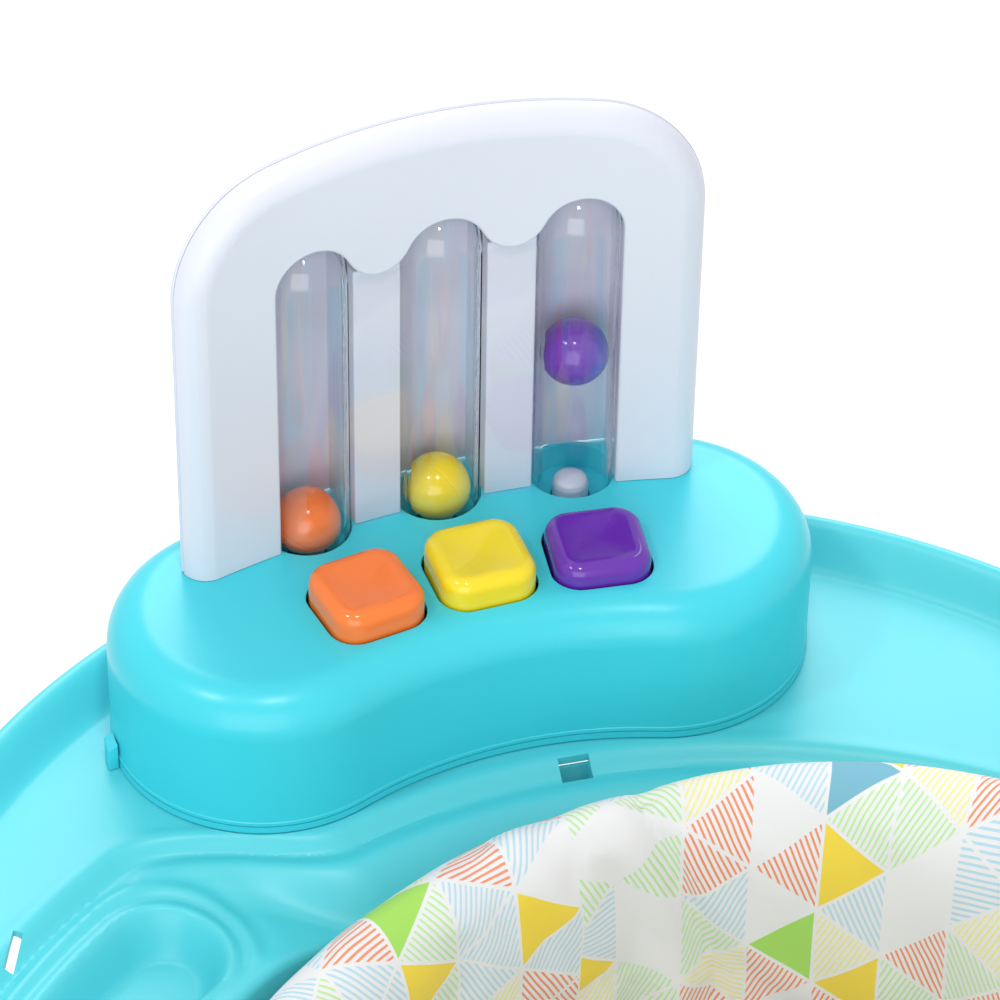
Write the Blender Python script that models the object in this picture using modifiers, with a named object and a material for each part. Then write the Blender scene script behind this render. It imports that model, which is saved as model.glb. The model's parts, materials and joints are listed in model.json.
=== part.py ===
"""Stationary activity jumper with a ball popper on its tray, modelled in metres.

The tray is a rounded triangle on three legs. A swivelling fabric seat hangs below it on three
springs. The ball popper stands on the front lobe of the tray, towards +Y.
"""

import math

import bmesh
import bpy
from mathutils import Matrix, Vector

# ---------------------------------------------------------------- driving dimensions
POPPER_PLANE = 0.490        # height of the popper base's top face above the floor
BASE_HEIGHT = 0.062         # popper base, from its top face down to the tray floor
LOBE_OFFSET = 0.122         # centre of each tray lobe from the seat axis
LOBE_RADIUS = 0.277
LOBE_COUNT = 3
OPENING_RADIUS = 0.230      # hole in the tray for the seat
WALL = 0.003                # thickness of the tray and the popper base
GAP = 0.0003                # clearance between touching pieces

TUBE_RADIUS_OUT = 0.0163
TUBE_RADIUS_IN = 0.0143
TUBE_TOP = 0.1355           # above the popper plane
TUBE_CIRCLE = 0.3570        # distance of the tubes from the seat axis
TUBE_SINK = 0.005           # how far the tubes reach into their recesses
RECESS_RADIUS = 0.0169
RECESS_DEPTH = 0.0118
BUTTON_CIRCLE = 0.3072
POPPER_PITCH = math.radians(8.5)
POPPER_TURN = math.radians(-0.5)
BALL_RADIUS = 0.013
PLUNGER_RADIUS = 0.007
BUTTON_SIDE = 0.037
BUTTON_CORNER = 0.010
BUTTON_PROUD = 0.0116
BUTTON_TRAVEL = 0.003
PLUNGER_TRAVEL = 0.0083
PLUNGER_TOP = -0.0105
BALL_REST = 0.0031          # centre of a ball at rest, above the popper plane
BALL_TRAVEL = 0.0545

TRAY_FLOOR = POPPER_PLANE - BASE_HEIGHT
RIM_RISE = 0.016
RIM_WIDTH = 0.020
SKIRT_DEPTH = 0.043
LIP_DROP = 0.046            # bottom of the opening's lip below the tray floor
SIDE_DISTANCE = LOBE_OFFSET / 2 + LOBE_RADIUS

RIDGE_RADIUS = 0.266        # outer edge of the slope that leads down to the seat
RIDGE_BULGE = 0.046         # how far the ridge steps outwards round the snack bowl
BOWL_ANGLE = math.radians(60)
BOWL_INNER = 0.240
BOWL_OUTER = 0.289
BOWL_HALF_ARC = math.radians(31)
BOWL_CORNER = 0.024
BOWL_DEPTH = 0.016

BASE_END_X = 0.079          # centres of the popper base's round ends
BASE_END_Y = 0.317
BASE_END_RADIUS = 0.058
BASE_FRONT_CENTRE_Y = 0.112
BASE_EDGE = 0.017
BASE_FLOOR_THICKNESS = 0.0037

PANEL_HALF_WIDTH = 0.100
PANEL_TOP = 0.176           # above the popper plane, at the middle
PANEL_CROWN_RADIUS = 0.350  # curve of the top edge
PANEL_CORNER = 0.046
PANEL_FRONT = 0.3471        # radius of the front face
PANEL_FACE_BACK = 0.3496    # the panel's face is a thin wall; its sides run on to the split
PANEL_SPLIT = 0.3575
PANEL_BACK = 0.3592
HOUSING_RIM_BACK = 0.3740   # box behind the tubes
HOUSING_BACK = 0.3775
HOUSING_HALF_WIDTH = 0.080
HOUSING_TOP = 0.145
WINDOW_RADIUS = 0.0152
WINDOW_SPRING = 0.1192      # height of the centres of the window's arches
TONGUE_BOTTOM = 0.1170
ARCH_END = math.radians(25)
CAVITY_RADIUS = 0.0170
WEB_RADIUS = 0.3486         # clear webs, just behind the plane of the panel's face

LEG_TOP_RADIUS = 0.336      # distance from the seat axis to a leg's top
LEG_SPLAY = math.radians(2.5)
FOOT_HEIGHT = 0.024
PAD_THICKNESS = 0.003

SPRING_CIRCLE = 0.268
BOUNCE_RING_BOTTOM = 0.322
SEAT_TILT = 0.157             # slope of the seat's top edge, rising towards +X
SEAT_EDGE_HEIGHT = POPPER_PLANE - 0.0345
COLLAR_RADIUS = 0.224

LOBE_ANGLES = [2 * math.pi * index / LOBE_COUNT for index in range(LOBE_COUNT)]
POPPER_NAMES = ["orange", "yellow", "purple"]
POPPER_ANGLES = {
    "orange": POPPER_TURN + POPPER_PITCH,
    "yellow": POPPER_TURN,
    "purple": POPPER_TURN - POPPER_PITCH,
}
PRESSED = "purple"          # the button that is held down at rest

COLOURS = {
    "turquoise": (0.24, 0.72, 0.78, 1.0),
    "white": (0.83, 0.85, 0.90, 1.0),
    "clear": (0.86, 0.86, 0.93, 0.3),
    "orange": (1.0, 0.22, 0.05, 1.0),
    "yellow": (0.95, 0.72, 0.03, 1.0),
    "purple": (0.17, 0.03, 0.45, 1.0),
    "steel": (0.55, 0.56, 0.58, 1.0),
    "rubber": (0.12, 0.12, 0.13, 1.0),
    "fabric": (0.93, 0.92, 0.93, 1.0),
}


# ---------------------------------------------------------------- scene helpers
def clear_scene():
    for obj in list(bpy.data.objects):
        bpy.data.objects.remove(obj, do_unlink=True)


def new_collection(name):
    collection = bpy.data.collections.new(name)
    bpy.context.scene.collection.children.link(collection)
    return collection


def make_material(name, colour, roughness, metallic):
    material = bpy.data.materials.new(name)
    material.use_nodes = True
    shader = material.node_tree.nodes["Principled BSDF"]
    shader.inputs["Base Color"].default_value = colour
    shader.inputs["Roughness"].default_value = roughness
    shader.inputs["Metallic"].default_value = metallic
    shader.inputs["Alpha"].default_value = colour[3]
    return material


def make_materials():
    roughness = {"clear": 0.08, "steel": 0.3, "rubber": 0.7, "fabric": 0.9}
    return {
        name: make_material(name, colour, roughness.get(name, 0.35), 1.0 if name == "steel" else 0.0)
        for name, colour in COLOURS.items()
    }


clear_scene()
PARTS = new_collection("activity_jumper")
HELPERS = new_collection("cutters")
MATERIALS = make_materials()


def make_empty(name, location, parent=None):
    empty = bpy.data.objects.new(name, None)
    empty.location = location
    empty.parent = parent
    PARTS.objects.link(empty)
    return empty


SEAT_AXIS = make_empty("seat_axis", (0, -LOBE_OFFSET / 4, 0))
BOUNCE = make_empty("bounce_axis", (0, 0, 0), SEAT_AXIS)
SWIVEL = make_empty("swivel_axis", (0, 0, 0), BOUNCE)


def add_part(name, mesh, material, parent=SEAT_AXIS, location=(0, 0, 0), angle=0.0):
    """One named piece; angle turns it about +Z."""
    obj = bpy.data.objects.new(name, mesh)
    obj.data.materials.append(MATERIALS[material])
    obj.parent = parent
    obj.location = location
    obj.rotation_euler = (0, 0, angle)
    PARTS.objects.link(obj)
    return obj


def as_helper(obj):
    """Keeps a shape out of the model: it only cuts or joins another."""
    PARTS.objects.unlink(obj)
    HELPERS.objects.link(obj)
    obj.hide_render = True
    obj.display_type = "WIRE"
    return obj


def boolean(obj, other, operation):
    modifier = obj.modifiers.new(operation.lower(), "BOOLEAN")
    modifier.operation = operation
    modifier.object = other


def solidify(obj, thickness=WALL):
    modifier = obj.modifiers.new("wall", "SOLIDIFY")
    modifier.thickness = thickness
    modifier.offset = -1
    modifier.use_even_offset = True


def shade(obj, degrees=35):
    obj.data.shade_smooth()
    obj.data.set_sharp_from_angle(angle=math.radians(degrees))


def mesh_from(name, bm):
    bmesh.ops.recalc_face_normals(bm, faces=bm.faces)
    mesh = bpy.data.meshes.new(name)
    bm.to_mesh(mesh)
    bm.free()
    return mesh


# ---------------------------------------------------------------- shape helpers
def smoothstep(value):
    value = min(max(value, 0.0), 1.0)
    return value * value * (3 - 2 * value)


def polar(radius, angle, height=0.0):
    """A point round the seat axis; the angle is 0 at +Y and grows towards -X."""
    return Vector((-radius * math.sin(angle), radius * math.cos(angle), height))


def arc(centre, radius, start, end, steps):
    """Points on an arc in the plane, from one angle to the other, both included."""
    turn = (end - start) / steps
    return [
        (centre[0] + radius * math.cos(start + turn * i), centre[1] + radius * math.sin(start + turn * i))
        for i in range(steps + 1)
    ]


def rounded_square(side, corner, steps=3):
    inner = side / 2 - corner
    points = []
    for quarter in range(4):
        start = quarter * math.pi / 2
        centre = (
            inner * (1 if quarter in (0, 3) else -1),
            inner * (1 if quarter in (0, 1) else -1),
        )
        points += arc(centre, corner, start, start + math.pi / 2, steps)
    return points


def prism_mesh(name, outline, low, high):
    """A flat outline of (x, y) raised from one height to another."""
    bm = bmesh.new()
    bottom = [bm.verts.new((x, y, low)) for x, y in outline]
    face = bm.faces.new(bottom)
    raised = bmesh.ops.extrude_face_region(bm, geom=[face])["geom"]
    bmesh.ops.translate(
        bm,
        verts=[item for item in raised if isinstance(item, bmesh.types.BMVert)],
        vec=(0, 0, high - low),
    )
    return mesh_from(name, bm)


def box_mesh(name, size, centre=(0, 0, 0)):
    bm = bmesh.new()
    bmesh.ops.create_cube(bm, size=1.0, matrix=Matrix.Translation(centre) @ Matrix.Diagonal((*size, 1)))
    return mesh_from(name, bm)


def cylinder_mesh(name, radius, length, segments=16, matrix=Matrix()):
    bm = bmesh.new()
    bmesh.ops.create_cone(
        bm, cap_ends=True, segments=segments, radius1=radius, radius2=radius, depth=length, matrix=matrix
    )
    return mesh_from(name, bm)


def ring_mesh(name, rings, close_last=False, torus=False):
    """Quads between successive closed rings of points."""
    bm = bmesh.new()
    rows = [[bm.verts.new(point) for point in ring] for ring in rings]
    pairs = list(zip(rows, rows[1:]))
    if torus:
        pairs.append((rows[-1], rows[0]))
    for low, high in pairs:
        for i in range(len(low)):
            j = (i + 1) % len(low)
            bm.faces.new((low[i], low[j], high[j], high[i]))
    if close_last:
        bm.faces.new(rows[-1])
    return mesh_from(name, bm)


def turned(name, profile, material, steps=24, parent=SEAT_AXIS, location=(0, 0, 0), closed=False):
    """A turned piece: a profile of (radius, height) that runs down its outer side."""
    mesh = bpy.data.meshes.new(name)
    count = len(profile)
    edges = [(i, i + 1) for i in range(count - 1)]
    if closed:
        edges.append((count - 1, 0))
    mesh.from_pydata([(radius, 0, height) for radius, height in profile], edges, [])
    obj = add_part(name, mesh, material, parent, location)
    screw = obj.modifiers.new("turn", "SCREW")
    screw.steps = steps
    screw.render_steps = steps
    screw.use_merge_vertices = True
    screw.merge_threshold = 0.00001
    screw.use_smooth_shade = True
    return obj


def tube_along(name, points, radius, material, parent, resolution=2):
    """A round bar along a list of points, as a closed mesh."""
    curve = bpy.data.curves.new(name, "CURVE")
    curve.dimensions = "3D"
    curve.bevel_depth = radius
    curve.bevel_resolution = resolution
    curve.use_fill_caps = True
    spline = curve.splines.new("POLY")
    spline.points.add(len(points) - 1)
    for slot, point in zip(spline.points, points):
        slot.co = (*point, 1)
    obj = bpy.data.objects.new(name, curve)
    obj.data.materials.append(MATERIALS[material])
    obj.parent = parent
    PARTS.objects.link(obj)
    return obj


def coil_points(radius, low, high, turns, per_turn):
    count = turns * per_turn
    return [
        (
            radius * math.cos(2 * math.pi * i / per_turn),
            radius * math.sin(2 * math.pi * i / per_turn),
            low + (high - low) * i / count,
        )
        for i in range(count + 1)
    ]


# ---------------------------------------------------------------- tray
def lobe_turn(angle):
    """Angle from the nearest lobe's middle line."""
    step = 2 * math.pi / LOBE_COUNT
    return abs((angle + step / 2) % step - step / 2)


def tray_outline(angle):
    """Distance from the seat axis to the tray's edge: lobe arcs joined by straight sides."""
    turn = lobe_turn(angle)
    half_step = math.pi / LOBE_COUNT
    tangent = math.atan2(
        LOBE_RADIUS * math.sin(half_step), LOBE_OFFSET + LOBE_RADIUS * math.cos(half_step)
    )
    if turn > tangent:
        return SIDE_DISTANCE / math.cos(half_step - turn)
    return LOBE_OFFSET * math.cos(turn) + math.sqrt(LOBE_RADIUS**2 - (LOBE_OFFSET * math.sin(turn)) ** 2)


def bowl_side(angle):
    """1 beside the snack bowl and 0 away from it."""
    away = abs((angle - BOWL_ANGLE + math.pi) % (2 * math.pi) - math.pi)
    return smoothstep((math.radians(44.8) - away) / math.radians(14.8))


def bowl_depth(radius, angle):
    """0 outside the bowl and 1 on its floor."""
    away = abs((angle - BOWL_ANGLE + math.pi) % (2 * math.pi) - math.pi)
    middle = (BOWL_INNER + BOWL_OUTER) / 2
    across = abs(radius - middle) - (BOWL_OUTER - BOWL_INNER) / 2 + BOWL_CORNER
    along = (away - BOWL_HALF_ARC) * middle + BOWL_CORNER
    outside = math.hypot(max(across, 0), max(along, 0)) + min(max(across, along), 0) - BOWL_CORNER
    return smoothstep(-outside / 0.012)


def tray_height(radius, angle):
    """Height of the tray's top surface, inside the rim."""
    side = bowl_side(angle)
    ridge = RIDGE_RADIUS + RIDGE_BULGE * side
    step = 0.006 * smoothstep((ridge - radius) / 0.012)
    slope = 0.014 * (1 - side) * smoothstep((ridge - 0.008 - radius) / 0.030)
    return TRAY_FLOOR - step - slope - BOWL_DEPTH * bowl_depth(radius, angle)


def make_tray():
    segments = 54
    angles = [2 * math.pi * i / segments for i in range(segments)]
    shares = [0.1, 0.2, 0.3, 0.42, 0.56, 0.7, 0.85, 1.0]
    start = OPENING_RADIUS + 0.004

    def ring(point):
        return [polar(*point(angle)) for angle in angles]

    rings = [
        ring(lambda a: (OPENING_RADIUS, a, TRAY_FLOOR - LIP_DROP)),
        ring(lambda a: (OPENING_RADIUS, a, tray_height(start, a) - 0.004)),
        ring(lambda a: (start, a, tray_height(start, a))),
    ]
    for share in shares:
        def on_floor(a, share=share):
            radius = start + share * (tray_outline(a) - RIM_WIDTH - start)
            return radius, a, tray_height(radius, a)
        rings.append(ring(on_floor))
    for inset, rise in ((0.011, 0.62), (0.0045, 1.0), (0.0, 0.62)):
        rings.append(
            ring(lambda a, d=inset, k=rise: (tray_outline(a) - d, a, TRAY_FLOOR + k * RIM_RISE))
        )
    rings.append(ring(lambda a: (tray_outline(a), a, TRAY_FLOOR - SKIRT_DEPTH)))
    tray = add_part("tray", ring_mesh("tray", rings), "turquoise")
    solidify(tray)
    slots = [
        ((0.012, 0.0084), polar(0.261, math.radians(-5.4)), math.radians(-5.4)),
        ((0.016, 0.0035), polar(0.309, math.radians(40.2)), math.radians(60.9)),
    ]
    for number, (size, place, angle) in enumerate(slots, 1):
        name = f"tray_slot_cutter_{number}"
        cutter = add_part(name, box_mesh(name, (*size, 0.06)), "turquoise", location=place, angle=angle)
        cutter.location.z = TRAY_FLOOR
        boolean(tray, as_helper(cutter), "DIFFERENCE")
    pocket = prism_mesh("popper_pocket", base_outline(-0.0006), TRAY_FLOOR + GAP / 2, POPPER_PLANE)
    boolean(tray, as_helper(add_part("popper_pocket", pocket, "turquoise")), "DIFFERENCE")
    shade(tray)
    return tray


# ---------------------------------------------------------------- popper base
def base_outline(inset=0.0, steps=6):
    """The base's outline: two round ends, a hollow front and a curved back."""
    end = math.hypot(BASE_END_X, BASE_END_Y)
    radius = BASE_END_RADIUS - inset
    to_back = math.atan2(BASE_END_Y, BASE_END_X)
    to_front = math.atan2(BASE_FRONT_CENTRE_Y - BASE_END_Y, -BASE_END_X)
    front_radius = math.hypot(BASE_END_X, BASE_END_Y - BASE_FRONT_CENTRE_Y) - BASE_END_RADIUS + inset
    right = arc((BASE_END_X, BASE_END_Y), radius, to_front, to_back, 2 * steps)
    back = arc((0, 0), end + radius, to_back, math.pi - to_back, steps)
    left = [(-x, y) for x, y in reversed(right)]
    start = math.pi + to_front
    front = arc((0, BASE_FRONT_CENTRE_Y), front_radius, math.pi - start, start, steps)
    return right[:-1] + back + left[1:-1] + front[:-1]


def base_ring(inset, height):
    return [(x, y, POPPER_PLANE + height) for x, y in base_outline(inset)]


def popper_point(name, radius, height=0.0):
    return polar(radius, POPPER_ANGLES[name], POPPER_PLANE + height)


SCREW_PLACES = {"left": (-BASE_END_X, BASE_END_Y), "right": (BASE_END_X, BASE_END_Y)}


def screw_hole(side):
    name = f"screw_hole_{side}"
    if name in bpy.data.objects:
        return bpy.data.objects[name]
    hole = add_part(name, cylinder_mesh(name, 0.0023, 0.06, 12), "steel", location=(*SCREW_PLACES[side], TRAY_FLOOR))
    return as_helper(hole)


def make_popper_base(tray):
    rings = [
        base_ring(0.0, -BASE_HEIGHT + BASE_FLOOR_THICKNESS + 2 * GAP),
        base_ring(0.0, -BASE_EDGE),
        base_ring(0.3 * BASE_EDGE, -0.3 * BASE_EDGE),
        base_ring(BASE_EDGE, 0.0),
    ]
    shell = add_part("popper_base_shell", ring_mesh("popper_base_shell", rings, close_last=True), "turquoise")
    solidify(shell)
    for name, angle in POPPER_ANGLES.items():
        outline = rounded_square(BUTTON_SIDE + 0.0022, BUTTON_CORNER + 0.0011)
        cutter = add_part(
            f"button_hole_{name}", prism_mesh("button_hole", outline, -0.01, 0.01), "turquoise",
            location=popper_point(name, BUTTON_CIRCLE), angle=angle,
        )
        boolean(shell, as_helper(cutter), "DIFFERENCE")
        cup = add_part(
            f"recess_cup_{name}",
            cylinder_mesh("cup", RECESS_RADIUS + 0.002, RECESS_DEPTH + 0.001, 24, Matrix.Translation((0, 0, -0.0015 - RECESS_DEPTH / 2))),
            "turquoise", location=popper_point(name, TUBE_CIRCLE),
        )
        boolean(shell, as_helper(cup), "UNION")
        recess = add_part(
            f"recess_{name}",
            cylinder_mesh("recess", RECESS_RADIUS, RECESS_DEPTH + 0.01, 24, Matrix.Translation((0, 0, 0.005 - RECESS_DEPTH / 2))),
            "turquoise", location=popper_point(name, TUBE_CIRCLE),
        )
        boolean(shell, as_helper(recess), "DIFFERENCE")
        bore = add_part(
            f"plunger_hole_{name}", cylinder_mesh("plunger_hole", PLUNGER_RADIUS + 0.0006, 0.04, 20), "turquoise",
            location=popper_point(name, TUBE_CIRCLE),
        )
        boolean(shell, as_helper(bore), "DIFFERENCE")
    shade(shell)

    low = TRAY_FLOOR + GAP
    high = TRAY_FLOOR + BASE_FLOOR_THICKNESS
    floor = add_part("popper_base_floor", prism_mesh("popper_base_floor", base_outline(), low, high), "turquoise")
    for side, (x, y) in SCREW_PLACES.items():
        boss = add_part(
            f"screw_boss_{side}", cylinder_mesh("screw_boss", 0.006, 0.016, 16), "turquoise",
            location=(x, y, high + 0.007),
        )
        boolean(floor, as_helper(boss), "UNION")
        boolean(floor, screw_hole(side), "DIFFERENCE")
        boolean(tray, screw_hole(side), "DIFFERENCE")
    for name, angle in POPPER_ANGLES.items():
        for hand in (-1, 1):
            ear = add_part(
                f"ear_{name}_{hand}",
                box_mesh("ear", (0.003, 0.010, 0.034), (hand * EAR_OFFSET, 0, 0.016)), "turquoise",
                location=polar(PIVOT_CIRCLE, angle, high), angle=angle,
            )
            boolean(floor, as_helper(ear), "UNION")
        bore = add_part(
            f"pin_hole_{name}", cylinder_mesh("pin_hole", PIN_RADIUS + GAP, 0.024, 12, ACROSS), "turquoise",
            location=popper_point(name, PIVOT_CIRCLE, PIVOT_DROP), angle=angle,
        )
        boolean(floor, as_helper(bore), "DIFFERENCE")


def make_popper_screws():
    for side, place in SCREW_PLACES.items():
        under = -WALL - 2 * GAP
        profile = [(0, 0.018), (0.002, 0.0175), (0.002, under), (0.0045, under), (0.0040, under - 0.0026), (0, under - 0.003)]
        turned(f"popper_screw_{side}", profile, "steel", 12, location=(*place, TRAY_FLOOR))


def make_clip():
    """Release clip at the base's left end, standing on the tray."""
    outline = [(-0.0012, -0.004), (0.0028, -0.004), (0.0028, 0.004), (-0.0004, 0.004)]
    mesh = prism_mesh("popper_clip", outline, GAP, 0.012)
    for vert in mesh.vertices:
        if vert.co.z > 2 * GAP:
            vert.co.z -= 0.6 * (0.0028 - vert.co.x)
    place = (-BASE_END_X - BASE_END_RADIUS - 0.0033, BASE_END_Y, TRAY_FLOOR)
    shade(add_part("popper_clip", mesh, "turquoise", location=place))


# ---------------------------------------------------------------- popper panel and tubes
def panel_outline(steps=5):
    """The arch seen from the front: (along the curve, height)."""
    crown_centre = PANEL_TOP - PANEL_CROWN_RADIUS
    centre_x = PANEL_HALF_WIDTH - PANEL_CORNER
    rise = math.sqrt((PANEL_CROWN_RADIUS - PANEL_CORNER) ** 2 - centre_x**2)
    joint = math.atan2(rise, centre_x)
    right = arc((centre_x, crown_centre + rise), PANEL_CORNER, 0, joint, steps)
    crown = arc((0, crown_centre), PANEL_CROWN_RADIUS, joint, math.pi - joint, 6)
    left = [(-x, y) for x, y in reversed(right)]
    return [(-PANEL_HALF_WIDTH, GAP), (PANEL_HALF_WIDTH, GAP)] + right + crown[1:-1] + left


def tongue(middle, half_width, top, bottom, steps):
    """The rounded tongue between two arches of the window, from left to right."""
    low = (4 * bottom - top) / 3
    lean = (top - low) * math.tan(ARCH_END)
    across = [middle - half_width, middle - half_width + lean, middle + half_width - lean, middle + half_width]
    points = []
    for index in range(1, steps):
        t = index / steps
        shares = [(1 - t) ** 3, 3 * t * (1 - t) ** 2, 3 * t * t * (1 - t), t**3]
        x = sum(share * value for share, value in zip(shares, across))
        points.append((x, (shares[0] + shares[3]) * top + (shares[1] + shares[2]) * low))
    return points


def window_outline(radius, bottom, steps=10):
    """The scalloped cut-out that the tubes stand in, open at its foot."""
    pitch = PANEL_FRONT * POPPER_PITCH
    shift = -PANEL_FRONT * POPPER_TURN
    points = [(shift - pitch - radius, -0.01)]
    for index in (-1, 0, 1):
        centre = shift + index * pitch
        start = math.pi if index == -1 else math.pi - ARCH_END
        end = 0 if index == 1 else ARCH_END
        points += arc((centre, WINDOW_SPRING), radius, start, end, steps)
        if index < 1:
            half_width = pitch / 2 - radius * math.cos(ARCH_END)
            top = WINDOW_SPRING + radius * math.sin(ARCH_END)
            points += tongue(centre + pitch / 2, half_width, top, bottom, 6)
    points.append((shift + pitch + radius, -0.01))
    return points


def housing_outline(side, top):
    """The box behind the tubes: a rectangle with its top corners cut off."""
    corner = 0.014
    right = [(side, 0), (side, top - corner), (side - corner, top)]
    return right + [(-x, y) for x, y in reversed(right)]


def horseshoe(outer, window, low):
    """An outline with the window cut out of it, standing at the given height."""
    outer = [(x, max(y, low)) for x, y in outer]
    window = [(x, max(y, low)) for x, y in window]
    left_foot = [point for point in outer if point[1] <= low and point[0] < 0]
    rest = [point for point in outer if point not in left_foot]
    return left_foot + window + rest


def bend_round_axis(mesh, radius, step):
    """Splits a flat slab into narrow columns, then wraps it round the seat axis."""
    bm = bmesh.new()
    bm.from_mesh(mesh)
    reach = max(vert.co.x for vert in bm.verts)
    columns = int(reach / step)
    for index in range(-columns, columns + 1):
        geom = bm.verts[:] + bm.edges[:] + bm.faces[:]
        bmesh.ops.bisect_plane(bm, geom=geom, plane_co=(index * step, 0, 0), plane_no=(1, 0, 0))
    for vert in bm.verts:
        along, height, depth = vert.co
        vert.co = polar(radius - depth, -along / PANEL_FRONT, POPPER_PLANE + height)
    bmesh.ops.triangulate(bm, faces=bm.faces)
    bm.to_mesh(mesh)
    bm.free()


def curved_slab(name, outlines, near, far, material):
    """A slab between two radii round the seat axis, from flat outlines; the later ones are holes."""
    curve = bpy.data.curves.new(name, "CURVE")
    curve.dimensions = "2D"
    curve.fill_mode = "BOTH"
    curve.extrude = (far - near) / 2
    for outline in outlines:
        spline = curve.splines.new("POLY")
        spline.points.add(len(outline) - 1)
        for slot, (x, y) in zip(spline.points, outline):
            slot.co = (x, y, 0, 1)
        spline.use_cyclic_u = True
    flat = bpy.data.objects.new(name + "_flat", curve)
    PARTS.objects.link(flat)
    bpy.context.view_layer.update()
    graph = bpy.context.evaluated_depsgraph_get()
    mesh = bpy.data.meshes.new_from_object(flat.evaluated_get(graph))
    bpy.data.objects.remove(flat)
    bm = bmesh.new()
    bm.from_mesh(mesh)
    bmesh.ops.remove_doubles(bm, verts=bm.verts, dist=0.00001)
    bmesh.ops.recalc_face_normals(bm, faces=bm.faces)
    bm.to_mesh(mesh)
    bm.free()
    mesh.materials.clear()
    bend_round_axis(mesh, (near + far) / 2, 0.0125)
    return add_part(name, mesh, material)


def make_panel():
    arch = panel_outline()
    inner_arch = [(0.996 * x, 0.997 * y) for x, y in arch]
    window = window_outline(WINDOW_RADIUS, TONGUE_BOTTOM)
    cavity = window_outline(CAVITY_RADIUS, TONGUE_BOTTOM + 0.0045)
    face = curved_slab("panel_front", [horseshoe(arch, window, GAP)], PANEL_FRONT, PANEL_FACE_BACK, "white")
    sides = horseshoe(inner_arch, cavity, 2 * GAP)
    body = curved_slab("panel_body", [sides], PANEL_FACE_BACK - 0.0002, PANEL_SPLIT, "white")
    boolean(face, as_helper(body), "UNION")
    shade(face)

    back = curved_slab("panel_back", [sides], PANEL_SPLIT + GAP, PANEL_BACK, "white")
    rim_cavity = window_outline(CAVITY_RADIUS + 0.0001, TONGUE_BOTTOM + 0.0050)
    rim = horseshoe(housing_outline(HOUSING_HALF_WIDTH, HOUSING_TOP), rim_cavity, 3 * GAP)
    plate = [(0.99 * x, max(0.99 * y, 4 * GAP)) for x, y in housing_outline(HOUSING_HALF_WIDTH, HOUSING_TOP)]
    backs = [
        curved_slab("panel_rim", [rim], PANEL_BACK - 0.0002, HOUSING_RIM_BACK, "white"),
        curved_slab("panel_plate", [plate], HOUSING_RIM_BACK - 0.0002, HOUSING_BACK, "white"),
    ]
    for hand in (-1, 1):
        middle = PANEL_FRONT * (hand * POPPER_PITCH / 2 - POPPER_TURN)
        low, high = 5 * GAP, TONGUE_BOTTOM + 0.0015
        rib = [(middle - 0.0092, low), (middle + 0.0092, low), (middle + 0.0092, high), (middle - 0.0092, high)]
        backs.append(curved_slab(f"panel_rib_{hand}", [rib], 0.3503, HOUSING_RIM_BACK + 0.001, "white"))
    for extra in backs:
        boolean(back, as_helper(extra), "UNION")
    shade(back)


def tube_profile(steps):
    out_centre = TUBE_TOP - TUBE_RADIUS_OUT
    outer = [
        (TUBE_RADIUS_OUT * math.sin(t), out_centre + TUBE_RADIUS_OUT * math.cos(t))
        for t in (math.pi / 2 * i / steps for i in range(steps + 1))
    ]
    inner = [
        (TUBE_RADIUS_IN * math.cos(t), out_centre + TUBE_RADIUS_IN * math.sin(t))
        for t in (math.pi / 2 * i / steps for i in range(steps + 1))
    ]
    return outer + [(TUBE_RADIUS_OUT, -TUBE_SINK), (TUBE_RADIUS_IN, -TUBE_SINK)] + inner


def make_tube_window():
    """Three domed tubes in one clear moulding, joined by flat webs."""
    window = None
    for name in POPPER_NAMES:
        tube = turned(f"tube_{name}", tube_profile(4), "clear", 16, location=popper_point(name, TUBE_CIRCLE))
        if window is None:
            window = tube
            window.name = "tube_window"
            continue
        boolean(window, as_helper(tube), "UNION")
    height = TONGUE_BOTTOM - 0.0006
    width = 2 * (TUBE_CIRCLE * math.sin(POPPER_PITCH / 2) - TUBE_RADIUS_IN + 0.0009)
    for hand in (-1, 1):
        angle = POPPER_TURN + hand * POPPER_PITCH / 2
        mesh = box_mesh("tube_web", (width, 0.002, height - GAP), (0, 0, (height + GAP) / 2))
        place = polar(WEB_RADIUS, angle, POPPER_PLANE)
        web = add_part(f"tube_web_{hand}", mesh, "clear", location=place, angle=angle)
        boolean(window, as_helper(web), "UNION")
    return window


# ---------------------------------------------------------------- popper works
ACROSS = Matrix.Rotation(math.pi / 2, 4, "Y")
PIVOT_CIRCLE = 0.3204
PIVOT_DROP = -0.030
PIN_RADIUS = 0.002
EAR_OFFSET = 0.0085
ROCKER_HALF = 0.0025
ROCKER_WIDTH = 0.009
ROCKER_TILT = math.atan(BUTTON_TRAVEL / (PIVOT_CIRCLE - BUTTON_CIRCLE))
PLAY = 0.0013               # free play between the rocker and what rests on it


def make_ball(name):
    lift = BALL_TRAVEL if name == PRESSED else 0.0
    bm = bmesh.new()
    bmesh.ops.create_uvsphere(bm, u_segments=14, v_segments=10, radius=BALL_RADIUS)
    place = popper_point(name, TUBE_CIRCLE, BALL_REST + lift)
    shade(add_part(f"ball_{name}", mesh_from("ball", bm), name, location=place), 80)


def make_plunger(name):
    lift = PLUNGER_TRAVEL if name == PRESSED else 0.0
    foot = PIVOT_DROP + ROCKER_HALF + PLAY
    profile = [(0, 0), (0.0045, -0.0005), (0.0063, -0.0016), (PLUNGER_RADIUS, -0.0036)]
    profile = [(radius, height + PLUNGER_TOP) for radius, height in profile]
    profile += [(PLUNGER_RADIUS, foot + 0.002), (0.004, foot), (0, foot)]
    turned(f"plunger_{name}", profile, "white", 16, location=popper_point(name, TUBE_CIRCLE, lift))


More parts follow.
